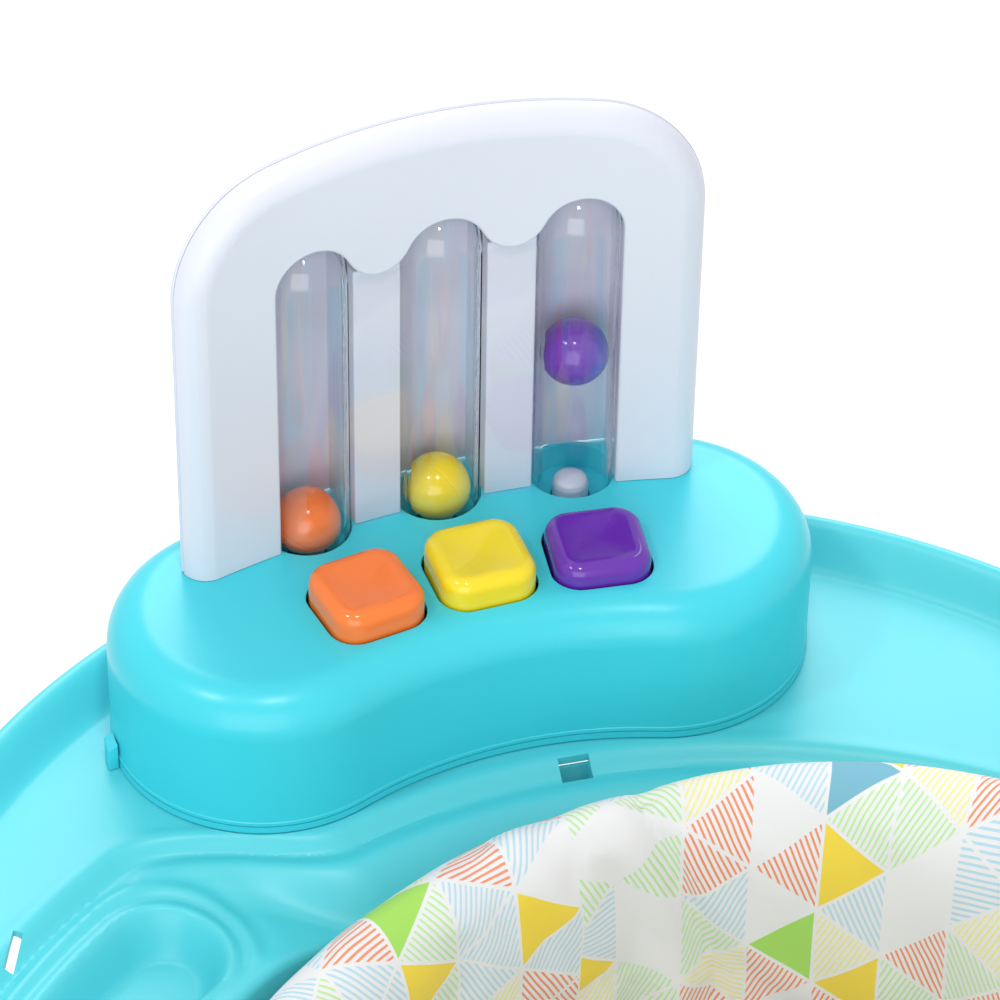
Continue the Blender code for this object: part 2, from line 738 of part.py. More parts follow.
def make_button(name):
    sink = BUTTON_TRAVEL if name == PRESSED else 0.0
    angle = POPPER_ANGLES[name]
    low = -0.012
    rings = []
    for inset, height in ((0.0, low), (0.0, BUTTON_PROUD - 0.004), (0.0012, BUTTON_PROUD - 0.001), (0.004, BUTTON_PROUD)):
        outline = rounded_square(BUTTON_SIDE - 2 * inset, BUTTON_CORNER - inset)
        rings.append([(x, y, height) for x, y in outline])
    mesh = ring_mesh("button", rings, close_last=True)
    bm = bmesh.new()
    bm.from_mesh(mesh)
    bmesh.ops.holes_fill(bm, edges=[edge for edge in bm.edges if edge.is_boundary])
    bmesh.ops.remove_doubles(bm, verts=bm.verts, dist=0.00001)
    bmesh.ops.recalc_face_normals(bm, faces=bm.faces)
    bm.to_mesh(mesh)
    bm.free()
    place = popper_point(name, BUTTON_CIRCLE, -sink)
    button = add_part(f"button_{name}", mesh, name, location=place, angle=angle)
    foot = PIVOT_DROP + ROCKER_HALF + PLAY
    length = low - foot + 0.002
    stem = cylinder_mesh("stem", 0.0025, length, 12, Matrix.Translation((0, 0, foot + length / 2)))
    helper = as_helper(add_part(f"stem_{name}", stem, name, location=place, angle=angle))
    boolean(button, helper, "UNION")
    shade(button)


def make_rocker(name):
    """Lever under a button and its plunger, on a cross pin."""
    angle = POPPER_ANGLES[name]
    front = BUTTON_CIRCLE - PIVOT_CIRCLE - 0.003
    back = TUBE_CIRCLE - PIVOT_CIRCLE + 0.0015
    bar = box_mesh(
        "rocker", (ROCKER_WIDTH, back - front, 2 * ROCKER_HALF), (0, (front + back) / 2, 0)
    )
    place = popper_point(name, PIVOT_CIRCLE, PIVOT_DROP)
    rocker = add_part(f"rocker_{name}", bar, "white", location=place)
    tilt = ROCKER_TILT if name == PRESSED else 0.0
    rocker.rotation_euler = (tilt, 0, angle)
    boss = add_part(
        f"rocker_boss_{name}", cylinder_mesh("rocker_boss", 0.005, ROCKER_WIDTH + 0.003, 16, ACROSS), "white",
        location=place, angle=angle,
    )
    boolean(rocker, as_helper(boss), "UNION")
    bore = add_part(
        f"rocker_bore_{name}", cylinder_mesh("rocker_bore", PIN_RADIUS + GAP, 0.03, 12, ACROSS), "white",
        location=place, angle=angle,
    )
    boolean(rocker, as_helper(bore), "DIFFERENCE")
    pin = cylinder_mesh("rocker_pin", PIN_RADIUS, 2 * EAR_OFFSET + 0.004, 12, ACROSS)
    shade(add_part(f"rocker_pin_{name}", pin, "steel", location=place, angle=angle))


def make_return_spring(name):
    """Light coil between the base floor and the rocker's button end."""
    arm = BUTTON_CIRCLE - PIVOT_CIRCLE
    top = PIVOT_DROP - ROCKER_HALF - PLAY
    if name == PRESSED:
        top += arm * math.tan(ROCKER_TILT) - 0.0012
    low = -BASE_HEIGHT + BASE_FLOOR_THICKNESS + 0.0009
    points = coil_points(0.0032, low, top, 4, 8)
    spring = tube_along(f"return_spring_{name}", points, 0.0005, "steel", SEAT_AXIS, 0)
    spring.location = popper_point(name, BUTTON_CIRCLE)


# ---------------------------------------------------------------- legs
def make_leg(number, angle):
    axis = make_empty(f"leg_axis_{number}", polar(LEG_TOP_RADIUS, angle, TRAY_FLOOR), SEAT_AXIS)
    axis.rotation_euler = (LEG_SPLAY, 0, angle)
    under = -WALL - GAP - 0.004
    socket = [(0.030, under - 0.001), (0.043, under - 0.002), (0.044, under - 0.008), (0.034, under - 0.046)]
    socket += [(0.0305, under - 0.046)]
    turned(f"leg_socket_{number}", socket, "turquoise", 16, axis, closed=True)
    end = -(TRAY_FLOOR - FOOT_HEIGHT) / math.cos(LEG_SPLAY)
    top = under - 0.006
    leg = [(0.0255, top), (0.030, top), (0.030, top - 0.050), (0.024, end), (0.021, end)]
    turned(f"leg_{number}", leg, "white", 16, axis, closed=True)


def make_foot(number, angle):
    reach = LEG_TOP_RADIUS + math.tan(LEG_SPLAY) * (TRAY_FLOOR - FOOT_HEIGHT)
    place = polar(reach, angle, PAD_THICKNESS)
    foot = [(0, 0.042), (0.017, 0.042), (0.019, 0.038), (0.019, 0.0190), (0.028, 0.0185)]
    foot += [(0.037, 0.008), (0.036, GAP), (0, GAP)]
    turned(f"foot_{number}", foot, "turquoise", 16, location=place)
    pad = [(0, 0.0), (0.034, 0.0), (0.034, -PAD_THICKNESS), (0, -PAD_THICKNESS)]
    turned(f"foot_pad_{number}", pad, "rubber", 16, location=place)


# ---------------------------------------------------------------- seat and suspension
RING_INNER = 0.206
RING_OUTER = 0.226
RING_HEIGHT = 0.012
ARM_LOW = 0.262
ARM_RADIUS = 0.006


def make_bounce_ring():
    low = BOUNCE_RING_BOTTOM
    high = low + RING_HEIGHT
    profile = [(RING_INNER, high), (RING_OUTER, high), (RING_OUTER, low), (RING_INNER, low)]
    turned("bounce_ring", profile, "white", 36, BOUNCE, closed=True)


def make_hanger(number, angle):
    """Bent rod from the bounce ring down and out to the foot of a spring, with its spring seat."""
    start = 0.2195
    bend = 0.030
    points = [(0, start, BOUNCE_RING_BOTTOM - GAP)]
    centre = (start + bend, ARM_LOW + bend)
    for y, z in arc(centre, bend, math.pi, 1.5 * math.pi, 4):
        points.append((0, y, z))
    points.append((0, SPRING_CIRCLE + 0.010, ARM_LOW))
    arm = tube_along(f"hanger_arm_{number}", points, ARM_RADIUS, "white", BOUNCE)
    arm.rotation_euler = (0, 0, angle)
    high = ARM_LOW + ARM_RADIUS + GAP
    profile = [(0, high + 0.028), (0.006, high + 0.028), (0.0075, high + 0.025), (0.0075, high + 0.004)]
    profile += [(0.0165, high + 0.004), (0.0165, high), (0, high)]
    turned(f"spring_seat_{number}", profile, "white", 12, BOUNCE, polar(SPRING_CIRCLE, angle))


def make_spring(number, angle):
    """Suspension spring with its top plug under the tray and a guard tube round it."""
    place = polar(SPRING_CIRCLE, angle)
    under = TRAY_FLOOR - WALL - 0.024
    plug = [(0, TRAY_FLOOR - 0.0075), (0.008, TRAY_FLOOR - 0.0075), (0.008, under)]
    plug += [(0.023, under), (0.023, under - 0.006), (0.0075, under - 0.006)]
    plug += [(0.0075, under - 0.026), (0.006, under - 0.029), (0, under - 0.029)]
    turned(f"spring_plug_{number}", plug, "turquoise", 12, location=place)
    guard_top = under - 0.006 - GAP
    guard = [(0.019, guard_top), (0.0215, guard_top), (0.0205, 0.290), (0.018, 0.290)]
    turned(f"spring_guard_{number}", guard, "white", 14, location=place, closed=True)
    low = ARM_LOW + ARM_RADIUS + 0.004 + 0.0022
    high = guard_top - 0.0022
    spring = tube_along(f"spring_{number}", coil_points(0.0115, low, high, 7, 9), 0.0015, "steel", SEAT_AXIS, 0)
    spring.location = place


def make_seat_ring():
    high = BOUNCE_RING_BOTTOM + RING_HEIGHT + GAP
    low = BOUNCE_RING_BOTTOM - GAP
    inner = 0.198
    profile = [(inner, high + 0.005), (0.224, high + 0.005), (0.224, high), (RING_INNER - 0.0006, high)]
    profile += [(RING_INNER - 0.0006, low), (inner, low)]
    turned("seat_ring", profile, "turquoise", 36, SWIVEL, closed=True)
    clip = [(inner, low - GAP), (0.2125, low - GAP), (0.2125, low - 0.004), (inner, low - 0.004)]
    turned("seat_ring_clip", clip, "turquoise", 36, SWIVEL, closed=True)


def seat_edge(angle):
    """Height of the seat's top edge, which rises towards the seat back."""
    return SEAT_EDGE_HEIGHT - SEAT_TILT * COLLAR_RADIUS * math.sin(angle)


def make_seat_collar():
    """Padded collar on the seat ring, low at the front and high at the back."""
    low = BOUNCE_RING_BOTTOM + RING_HEIGHT + 2 * GAP + 0.006
    section = [(0.196, 0.0), (0.192, 0.5), (0.194, 0.88), (0.207, 1.0), (0.220, 0.88), (0.224, 0.5), (0.216, 0.0)]
    segments = 36
    rings = [
        [
            polar(radius, a, low + share * (seat_edge(a) - low))
            for a in (2 * math.pi * i / segments for i in range(segments))
        ]
        for radius, share in section
    ]
    shade(add_part("seat_collar", ring_mesh("seat_collar", rings, torus=True), "fabric", SWIVEL), 60)


def make_seat_bucket():
    """Fabric bucket hung inside the seat ring, with two leg holes."""
    profile = [(0.1955, 0.338), (0.191, 0.300), (0.181, 0.250), (0.160, 0.200), (0.120, 0.170), (0.060, 0.156)]
    segments = 36
    rings = [
        [polar(radius, 2 * math.pi * i / segments, height) for i in range(segments)] for radius, height in profile
    ]
    bucket = add_part("seat_bucket", ring_mesh("seat_bucket", rings, close_last=True), "fabric", SWIVEL)
    solidify(bucket, 0.004)
    for hand in (-1, 1):
        name = f"leg_hole_{hand}"
        hole = cylinder_mesh(name, 0.046, 0.3, 20)
        cutter = add_part(name, hole, "fabric", SWIVEL, (-0.072, hand * 0.062, 0.15))
        boolean(bucket, as_helper(cutter), "DIFFERENCE")
    shade(bucket, 60)


def main():
    tray = make_tray()
    make_popper_base(tray)
    make_popper_screws()
    make_clip()
    make_panel()
    make_tube_window()
    for name in POPPER_NAMES:
        make_ball(name)
        make_plunger(name)
        make_button(name)
        make_rocker(name)
        make_return_spring(name)
    for number, angle in enumerate(LOBE_ANGLES, 1):
        make_leg(number, angle)
        make_foot(number, angle)
        make_hanger(number, angle)
        make_spring(number, angle)
    make_bounce_ring()
    make_seat_ring()
    make_seat_collar()
    make_seat_bucket()


main()
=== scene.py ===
"""Finished looks of the activity jumper, built round its fixed frame.

Each operator makes one piece, or a group of like pieces, in metres in the frame's own place.
"""

import json
import math

import bmesh
import bpy
import numpy as np
from bpy.props import FloatProperty, FloatVectorProperty, IntProperty, PointerProperty
from mathutils import Matrix, Vector

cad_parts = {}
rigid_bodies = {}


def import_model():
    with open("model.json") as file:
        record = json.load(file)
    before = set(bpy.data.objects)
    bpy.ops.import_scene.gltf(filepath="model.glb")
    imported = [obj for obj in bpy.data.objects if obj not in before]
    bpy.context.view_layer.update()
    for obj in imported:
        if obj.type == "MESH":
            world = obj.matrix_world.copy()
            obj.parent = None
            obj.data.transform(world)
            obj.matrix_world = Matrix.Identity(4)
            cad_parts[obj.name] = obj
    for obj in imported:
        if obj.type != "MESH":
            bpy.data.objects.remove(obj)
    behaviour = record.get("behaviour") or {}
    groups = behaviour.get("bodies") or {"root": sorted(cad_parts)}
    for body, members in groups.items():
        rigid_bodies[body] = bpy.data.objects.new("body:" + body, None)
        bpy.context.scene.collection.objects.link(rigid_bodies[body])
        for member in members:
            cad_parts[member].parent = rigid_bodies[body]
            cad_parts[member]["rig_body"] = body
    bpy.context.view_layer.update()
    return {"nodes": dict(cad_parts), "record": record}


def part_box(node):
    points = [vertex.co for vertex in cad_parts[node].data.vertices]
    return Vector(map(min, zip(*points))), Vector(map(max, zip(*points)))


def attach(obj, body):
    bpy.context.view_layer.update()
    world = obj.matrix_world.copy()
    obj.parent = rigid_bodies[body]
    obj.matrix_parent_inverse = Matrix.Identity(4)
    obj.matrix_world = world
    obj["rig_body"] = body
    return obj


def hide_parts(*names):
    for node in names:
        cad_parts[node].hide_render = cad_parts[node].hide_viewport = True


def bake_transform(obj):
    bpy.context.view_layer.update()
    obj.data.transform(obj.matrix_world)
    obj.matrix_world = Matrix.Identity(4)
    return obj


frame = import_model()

bl_info = {
    "name": "Activity jumper looks",
    "version": (1, 0, 0),
    "blender": (4, 5, 0),
    "location": "3D View > Sidebar > Jumper",
    "description": "Finished pieces, materials, light and camera for the activity jumper",
    "category": "Add Mesh",
}

# ---------------------------------------------------------------- places taken from the frame
GAP = 0.0003
RECORD = frame["record"]
BODY_OF = {node: body for body, nodes in RECORD["behaviour"]["bodies"].items() for node in nodes}


def middle(node):
    low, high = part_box(node)
    return (low + high) / 2


SEAT = middle("bounce_ring")
POPPER_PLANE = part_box("popper_base_shell")[1].z
TRAY_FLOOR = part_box("popper_base_floor")[0].z - GAP
LOBE_OFFSET = -4 * SEAT.y
LOBE_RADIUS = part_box("tray")[1].y - SEAT.y - LOBE_OFFSET
SIDE_DISTANCE = LOBE_OFFSET / 2 + LOBE_RADIUS
LOBE_ANGLES = [2 * math.pi * index / 3 for index in range(3)]

OPENING_RADIUS = 0.230
WALL = 0.003
RIM_RISE = 0.016
RIM_WIDTH = 0.020
RIM_CREST = 0.0045
SKIRT_DEPTH = 0.043
LIP_DROP = 0.046
RIDGE_RADIUS = 0.266
RIDGE_BULGE = 0.046
BOWL_ANGLE = math.radians(60)
BOWL_INNER = 0.240
BOWL_OUTER = 0.289
BOWL_HALF_ARC = math.radians(31)
BOWL_CORNER = 0.024
BOWL_DEPTH = 0.016

BASE_END_X = 0.079
BASE_END_Y = 0.317
BASE_END_RADIUS = 0.058
BASE_FRONT_CENTRE_Y = 0.112
BASE_EDGE = 0.017
BASE_FLOOR_THICKNESS = 0.0037

TUBE_CIRCLE = 0.3570
TUBE_RADIUS_OUT = 0.0163
TUBE_RADIUS_IN = 0.0143
TUBE_TOP = 0.1355
TUBE_SINK = 0.005
RECESS_RADIUS = 0.0169
RECESS_DEPTH = 0.0118
POPPER_PITCH = math.radians(8.5)
POPPER_TURN = math.radians(-0.5)
POPPER_ANGLES = {
    "orange": POPPER_TURN + POPPER_PITCH,
    "yellow": POPPER_TURN,
    "purple": POPPER_TURN - POPPER_PITCH,
}
PANEL_HALF_WIDTH = 0.100
PANEL_TOP = 0.176
PANEL_CROWN_RADIUS = 0.350
PANEL_CORNER = 0.046
PANEL_FRONT = 0.3471
PANEL_SPLIT = 0.3575
PANEL_BACK = 0.3592
HOUSING_RIM_BACK = 0.3740
HOUSING_BACK = 0.3775
HOUSING_HALF_WIDTH = 0.080
HOUSING_TOP = 0.145
WINDOW_RADIUS = 0.0152
WINDOW_SPRING = 0.1192
TONGUE_BOTTOM = 0.1170
ARCH_END = math.radians(25)
CAVITY_RADIUS = 0.0170
WEB_RADIUS = 0.3486

PIVOT_CIRCLE = 0.3204
SPRING_CIRCLE = 0.268
LEG_TOP_RADIUS = 0.336
LEG_SPLAY = math.radians(2.5)
FOOT_HEIGHT = 0.024
COLLAR_RADIUS = 0.224
COLLAR_TILT = 0.157
COLLAR_EDGE_HEIGHT = POPPER_PLANE - 0.0345


# ---------------------------------------------------------------- settings a user would change
def length(name, description, default):
    return FloatProperty(name=name, description=description, default=default, unit="LENGTH")


def colour(name, description, default):
    return FloatVectorProperty(
        name=name, description=description, default=default, size=3, min=0, max=1, subtype="COLOR"
    )


class JumperColours(bpy.types.PropertyGroup):
    tray: colour("Tray", "Moulded tray", (0.090, 0.620, 0.700))
    toy: colour("Toy", "Moulded base of the ball popper", (0.050, 0.620, 0.730))
    white: colour("White", "White mouldings and painted metal", (0.69, 0.71, 0.80))
    clear: colour("Clear", "Tint of the clear tubes", (0.980, 0.975, 0.992))
    orange: colour("Orange", "Orange button and ball", (0.95, 0.205, 0.030))
    yellow: colour("Yellow", "Yellow button and ball", (0.90, 0.700, 0.015))
    purple: colour("Purple", "Purple button and ball", (0.130, 0.022, 0.400))
    steel: colour("Steel", "Springs, pins and screws", (0.55, 0.56, 0.58))
    rubber: colour("Rubber", "Pads under the feet", (0.05, 0.05, 0.055))
    cloth: colour("Cloth", "Ground of the seat's printed fabric", (0.80, 0.80, 0.81))


class JumperTray(bpy.types.PropertyGroup):
    columns: IntProperty(name="Columns", description="Faces round the tray", default=760, min=60)
    step: length("Step", "Height of the step inside the ridge", 0.0042)
    band: length("Band", "Height of the soft band inside the step", 0.0011)
    lip: length("Lip", "Height of the lip round the snack bowl", 0.0012)


class JumperPopper(bpy.types.PropertyGroup):
    button_round: length("Button edge", "Radius of a button's soft top edge", 0.0052)
    button_dish: length("Button dish", "How far the middle of a button dips", 0.0018)
    panel_round: length("Panel edge", "Radius of the panel's outer edge", 0.0095)
    window_round: length("Window edge", "Radius of the edge round the tubes", 0.0012)
    groove: length("Ball groove", "Depth of the parting line round a ball", 0.00018)


class JumperFabric(bpy.types.PropertyGroup):
    column: length("Print column", "Width of a column of printed triangles", 0.0265)
    side: length("Print side", "Upright side of a printed triangle", 0.0310)
    gap: length("Print gap", "White line between triangles", 0.0013)
    pitch: length("Stripe pitch", "Distance between printed stripes", 0.00215)
    seam_depth: length("Seam depth", "How far a seam pulls in", 0.0045)
    gather: length("Gathers", "Height of the gathers beside a seam", 0.0022)
    puff: length("Puff", "Furthest that the padding may swell", 0.0050)


class JumperStage(bpy.types.PropertyGroup):
    camera_place: FloatVectorProperty(
        name="Camera", description="Where the camera stands", default=(-0.44255, -0.93172, 1.60457),
        size=3, subtype="TRANSLATION",
    )
    turn: FloatProperty(
        name="Turn", description="Heading, from +Y to +X", default=math.radians(20.54),
        subtype="ANGLE",
    )
    dip: FloatProperty(
        name="Dip", description="Angle below level", default=math.radians(39.96), subtype="ANGLE",
    )
    roll: FloatProperty(
        name="Roll", description="Roll of the camera", default=math.radians(0.99), subtype="ANGLE",
    )
    lens: FloatProperty(name="Lens", description="Focal length in millimetres", default=164.85)
    sky: FloatProperty(name="Sky", description="Strength of the white surround", default=0.75)
    sheen: FloatProperty(name="Sheen", description="Power of the softbox behind", default=28.0, unit="POWER")
    fill: FloatProperty(name="Fill", description="Power of the low front softbox", default=27.0, unit="POWER")
    spark: FloatProperty(name="Sparks", description="Power of each small light", default=2.2, unit="POWER")


# ---------------------------------------------------------------- node arithmetic
class Wire:
    """A node's output, so that sums of outputs read as plain arithmetic."""

    def __init__(self, tree, socket):
        self.tree = tree
        self.socket = socket

    def maths(self, operation, *others):
        node = self.tree.nodes.new("ShaderNodeMath")
        node.operation = operation
        for slot, value in zip(node.inputs, (self, *others)):
            feed(self.tree, slot, value)
        return Wire(self.tree, node.outputs[0])

    def __add__(self, other):
        return self.maths("ADD", other)

    def __sub__(self, other):
        return self.maths("SUBTRACT", other)

    def __mul__(self, other):
        return self.maths("MULTIPLY", other)

    def __truediv__(self, other):
        return self.maths("DIVIDE", other)

    def floor(self):
        return self.maths("FLOOR")

    def share(self):
        """What is left above the whole number below."""
        return self.maths("FRACT")

    def edge(self):
        """Distance to the nearest whole number."""
        part = self.share()
        return part.maths("MINIMUM", (part * -1) + 1)

    def under(self, limit):
        return self.maths("LESS_THAN", limit)

    def over(self, limit):
        return self.maths("GREATER_THAN", limit)

    def least(self, other):
        return self.maths("MINIMUM", other)

    def ramp(self, low, high):
        """0 below low, 1 above high, smooth between."""
        node = self.tree.nodes.new("ShaderNodeMapRange")
        node.interpolation_type = "SMOOTHSTEP"
        feed(self.tree, node.inputs["Value"], self)
        node.inputs["From Min"].default_value = low
        node.inputs["From Max"].default_value = high
        return Wire(self.tree, node.outputs[0])


def feed(tree, slot, value):
    if isinstance(value, Wire):
        tree.links.new(value.socket, slot)
    else:
        slot.default_value = value


class Finish:
    """A material in the making, and shorthand for the nodes behind it."""

    def __init__(self, name, base, roughness):
        self.material = bpy.data.materials.new(name)
        self.material.use_nodes = True
        self.tree = self.material.node_tree
        self.shader = self.tree.nodes["Principled BSDF"]
        self.shader.inputs["Base Color"].default_value = (*base, 1)
        self.shader.inputs["Roughness"].default_value = roughness
        self.material.diffuse_color = (*base, 1)

    def node(self, kind, output, **inputs):
        made = self.tree.nodes.new("ShaderNode" + kind)
        for name, value in inputs.items():
            feed(self.tree, made.inputs[name.replace("_", " ")], value)
        return Wire(self.tree, made.outputs[output])

    def place(self):
        return self.node("TexCoord", "Object")

    def noise(self, scale, detail=3.0, roughness=0.5, place=None):
        return self.node(
            "TexNoise", 0, Vector=place or self.place(), Scale=scale, Detail=detail, Roughness=roughness
        )

    def mix(self, share, first, second):
        made = self.tree.nodes.new("ShaderNodeMix")
        made.data_type = "RGBA"
        sockets = {socket.identifier: socket for socket in made.inputs}
        feed(self.tree, sockets["Factor_Float"], share)
        feed(self.tree, sockets["A_Color"], first)
        feed(self.tree, sockets["B_Color"], second)
        return Wire(self.tree, next(s for s in made.outputs if s.identifier == "Result_Color"))

    def set(self, socket, value):
        feed(self.tree, self.shader.inputs[socket], value)

    def bump(self, height, distance, strength=1.0):
        made = self.tree.nodes.new("ShaderNodeBump")
        made.inputs["Distance"].default_value = distance
        made.inputs["Strength"].default_value = strength
        feed(self.tree, made.inputs["Height"], height)
        self.tree.links.new(made.outputs[0], self.shader.inputs["Normal"])


def shaded(base, amount):
    return (*[min(1.0, part * amount) for part in base], 1)


def moulded_plastic(name, base, roughness, grain, coat=0.0):
    """Moulded plastic: faint flow marks in the colour, uneven gloss and a fine skin."""
    finish = Finish(name, base, roughness)
    flow = finish.noise(9.0, 2.0)
    finish.set("Base Color", finish.mix(flow, shaded(base, 0.955), shaded(base, 1.045)))
    finish.set("Roughness", finish.noise(60.0, 3.0) * 0.08 + (roughness - 0.04))
    finish.set("Specular IOR Level", 0.5)
    finish.set("Coat Weight", coat)
    finish.set("Coat Roughness", 0.06)
    skin = finish.noise(1400.0, 2.0) * 0.5 + finish.noise(260.0, 2.0)
    finish.bump(skin, grain)
    return finish.material


def clear_plastic(name, tint):
    """Clear polished plastic that lets light through to what stands behind it."""
    finish = Finish(name, tint, 0.03)
    finish.set("Transmission Weight", 1.0)
    finish.set("IOR", 1.06)
    finish.set("Coat Weight", 1.0)
    finish.set("Coat Roughness", 0.02)
    finish.bump(finish.noise(45.0, 2.0), 0.00010)
    tree = finish.tree
    through = tree.nodes.new("ShaderNodeBsdfTransparent")
    through.inputs["Color"].default_value = (*tint, 1)
    path = tree.nodes.new("ShaderNodeLightPath")
    blend = tree.nodes.new("ShaderNodeMixShader")
    lit = Wire(tree, path.outputs["Is Shadow Ray"]).maths(
        "MAXIMUM", Wire(tree, path.outputs["Is Diffuse Ray"]),
    )
    feed(tree, blend.inputs[0], lit)
    tree.links.new(finish.shader.outputs[0], blend.inputs[1])
    tree.links.new(through.outputs[0], blend.inputs[2])
    tree.links.new(blend.outputs[0], tree.nodes["Material Output"].inputs["Surface"])
    return finish.material


def plated_steel(name, base):
    """Zinc-plated steel with fine drawn marks and cloudy gloss."""
    finish = Finish(name, base, 0.3)
    finish.set("Metallic", 1.0)
    cloud = finish.noise(220.0, 4.0)
    finish.set("Base Color", finish.mix(cloud, shaded(base, 0.82), shaded(base, 1.1)))
    finish.set("Roughness", cloud * 0.2 + 0.2)
    finish.bump(finish.noise(1800.0, 2.0), 0.00003)
    return finish.material


def matt_rubber(name, base):
    finish = Finish(name, base, 0.75)
    dust = finish.noise(130.0, 4.0)
    finish.set("Base Color", finish.mix(dust, shaded(base, 0.8), shaded(base, 1.5)))
    finish.set("Roughness", dust * 0.15 + 0.68)
    finish.bump(finish.noise(900.0, 3.0), 0.0001)
    return finish.material


PRINT_INKS = [
    ((0.86, 0.80, 0.30), 0.17, True),
    ((0.50, 0.78, 0.36), 0.36, True),
    ((0.45, 0.68, 0.80), 0.52, True),
    ((0.88, 0.27, 0.12), 0.66, True),
    ((0.80, 0.80, 0.81), 0.83, False),
    ((0.88, 0.66, 0.035), 0.91, False),
    ((0.36, 0.70, 0.10), 0.96, False),
    ((0.17, 0.45, 0.58), 1.0, False),
]


def printed_fabric(name, base, settings):
    """White woven cloth printed with columns of triangles, some solid and some striped."""
    finish = Finish(name, base, 0.85)
    split = finish.tree.nodes.new("ShaderNodeSeparateXYZ")
    feed(finish.tree, split.inputs[0], finish.node("TexCoord", "UV"))
    along = Wire(finish.tree, split.outputs[0])
    up = Wire(finish.tree, split.outputs[1])
    column = (along / settings.column).floor()
    across = (along / settings.column).share()
    shift = column * 0.5
    rise = up / settings.side + shift + across * 0.5
    fall = up / settings.side + shift - across * 0.5
    slope = math.cos(math.atan2(settings.side / 2, settings.column))
    lines = (rise.edge().least(fall.edge()) * (settings.side * slope)).least(across.edge() * settings.column)
    inside = lines.ramp(settings.gap * 0.35, settings.gap * 0.65)

    cell = finish.node("CombineXYZ", 0, X=column, Y=rise.floor(), Z=fall.floor())
    pick = finish.node("TexWhiteNoise", "Value", Vector=cell)
    waver = finish.noise(38.0, 2.0) * 0.9
    directions = (
        up / settings.pitch,
        up / settings.pitch * 0.5 + along / settings.pitch * 0.866,
        up / settings.pitch * 0.5 - along / settings.pitch * 0.866,
    )
    which = (pick * 97.0).share()
    stripe = None
    for index, line in enumerate(directions):
        ink = ((line + waver).edge()).ramp(0.27, 0.33)
        chosen = which.over(index / 3) * which.under((index + 1) / 3)
        stripe = ink * chosen if stripe is None else stripe + ink * chosen

    ground = (*base, 1)
    shown = ground
    start = 0.0
    for ink, end, striped in PRINT_INKS:
        here = pick.over(start) * pick.under(end) * inside
        shown = finish.mix(here * stripe if striped else here, shown, (*ink, 1))
        start = end
    soil = finish.noise(16.0, 3.0) * 0.06
    finish.set("Base Color", finish.mix(soil, shown, shaded(base, 0.86)))
    finish.set("Roughness", finish.noise(500.0, 2.0) * 0.1 + 0.8)
    finish.set("Sheen Weight", 0.25)
    finish.set("Sheen Roughness", 0.4)
    thread = 2 * math.pi / 0.00045
    weave = (along * thread).maths("SINE") * (up * thread).maths("SINE")
    finish.bump(weave * 0.5 + finish.noise(160.0, 3.0), 0.00008)
    return finish.material


def plain_fabric(name, base):
    """Plain woven tape for hems."""
    finish = Finish(name, base, 0.85)
    fibre = finish.noise(700.0, 3.0)
    finish.set("Base Color", finish.mix(fibre, shaded(base, 0.9), shaded(base, 1.05)))
    finish.set("Roughness", fibre * 0.1 + 0.8)
    finish.set("Sheen Weight", 0.25)
    finish.bump(fibre + finish.noise(2200.0, 2.0) * 0.5, 0.00012)
    return finish.material


FINISHES = {}


def finish_of(name):
    """The named material, made the first time that a piece asks for it."""
    if name in FINISHES:
        return FINISHES[name]
    colours = bpy.context.scene.jumper_colours
    if name == "tray":
        made = moulded_plastic("tray_turquoise", colours.tray, 0.36, 0.00003)
    elif name == "toy":
        made = moulded_plastic("toy_turquoise", colours.toy, 0.30, 0.00003)
    elif name == "white":
        made = moulded_plastic("panel_white", colours.white, 0.33, 0.00003)
    elif name == "painted":
        made = moulded_plastic("painted_white_steel", colours.white, 0.40, 0.00006)
    elif name in POPPER_ANGLES:
        made = moulded_plastic(f"glossy_{name}", getattr(colours, name), 0.13, 0.00001, coat=0.3)
    elif name == "clear":
        made = clear_plastic("clear_tube", colours.clear)
    elif name == "steel":
        made = plated_steel("plated_steel", colours.steel)
    elif name == "rubber":
        made = matt_rubber("pad_rubber", colours.rubber)
    elif name == "print":
        made = printed_fabric("printed_seat_cloth", colours.cloth, bpy.context.scene.jumper_fabric)
    else:
        made = plain_fabric("hem_tape", colours.cloth)
    FINISHES[name] = made
    return made


# ---------------------------------------------------------------- shape helpers
def smooth(value):
    value = np.clip(value, 0.0, 1.0)
    return value * value * (3 - 2 * value)


def polar(radius, angle, height):
    """Points round the seat axis; the angle is 0 at +Y and grows towards -X."""
    radius, angle, height = np.broadcast_arrays(radius, angle, height)
    return np.stack([SEAT.x - radius * np.sin(angle), SEAT.y + radius * np.cos(angle), height], -1)


def turned_matrix(place, angle=0.0, tilt=0.0):
    return Matrix.Translation(place) @ Matrix.Rotation(angle, 4, "Z") @ Matrix.Rotation(tilt, 4, "X")


def at(radius, angle, height):
    return Vector(polar(radius, angle, height))


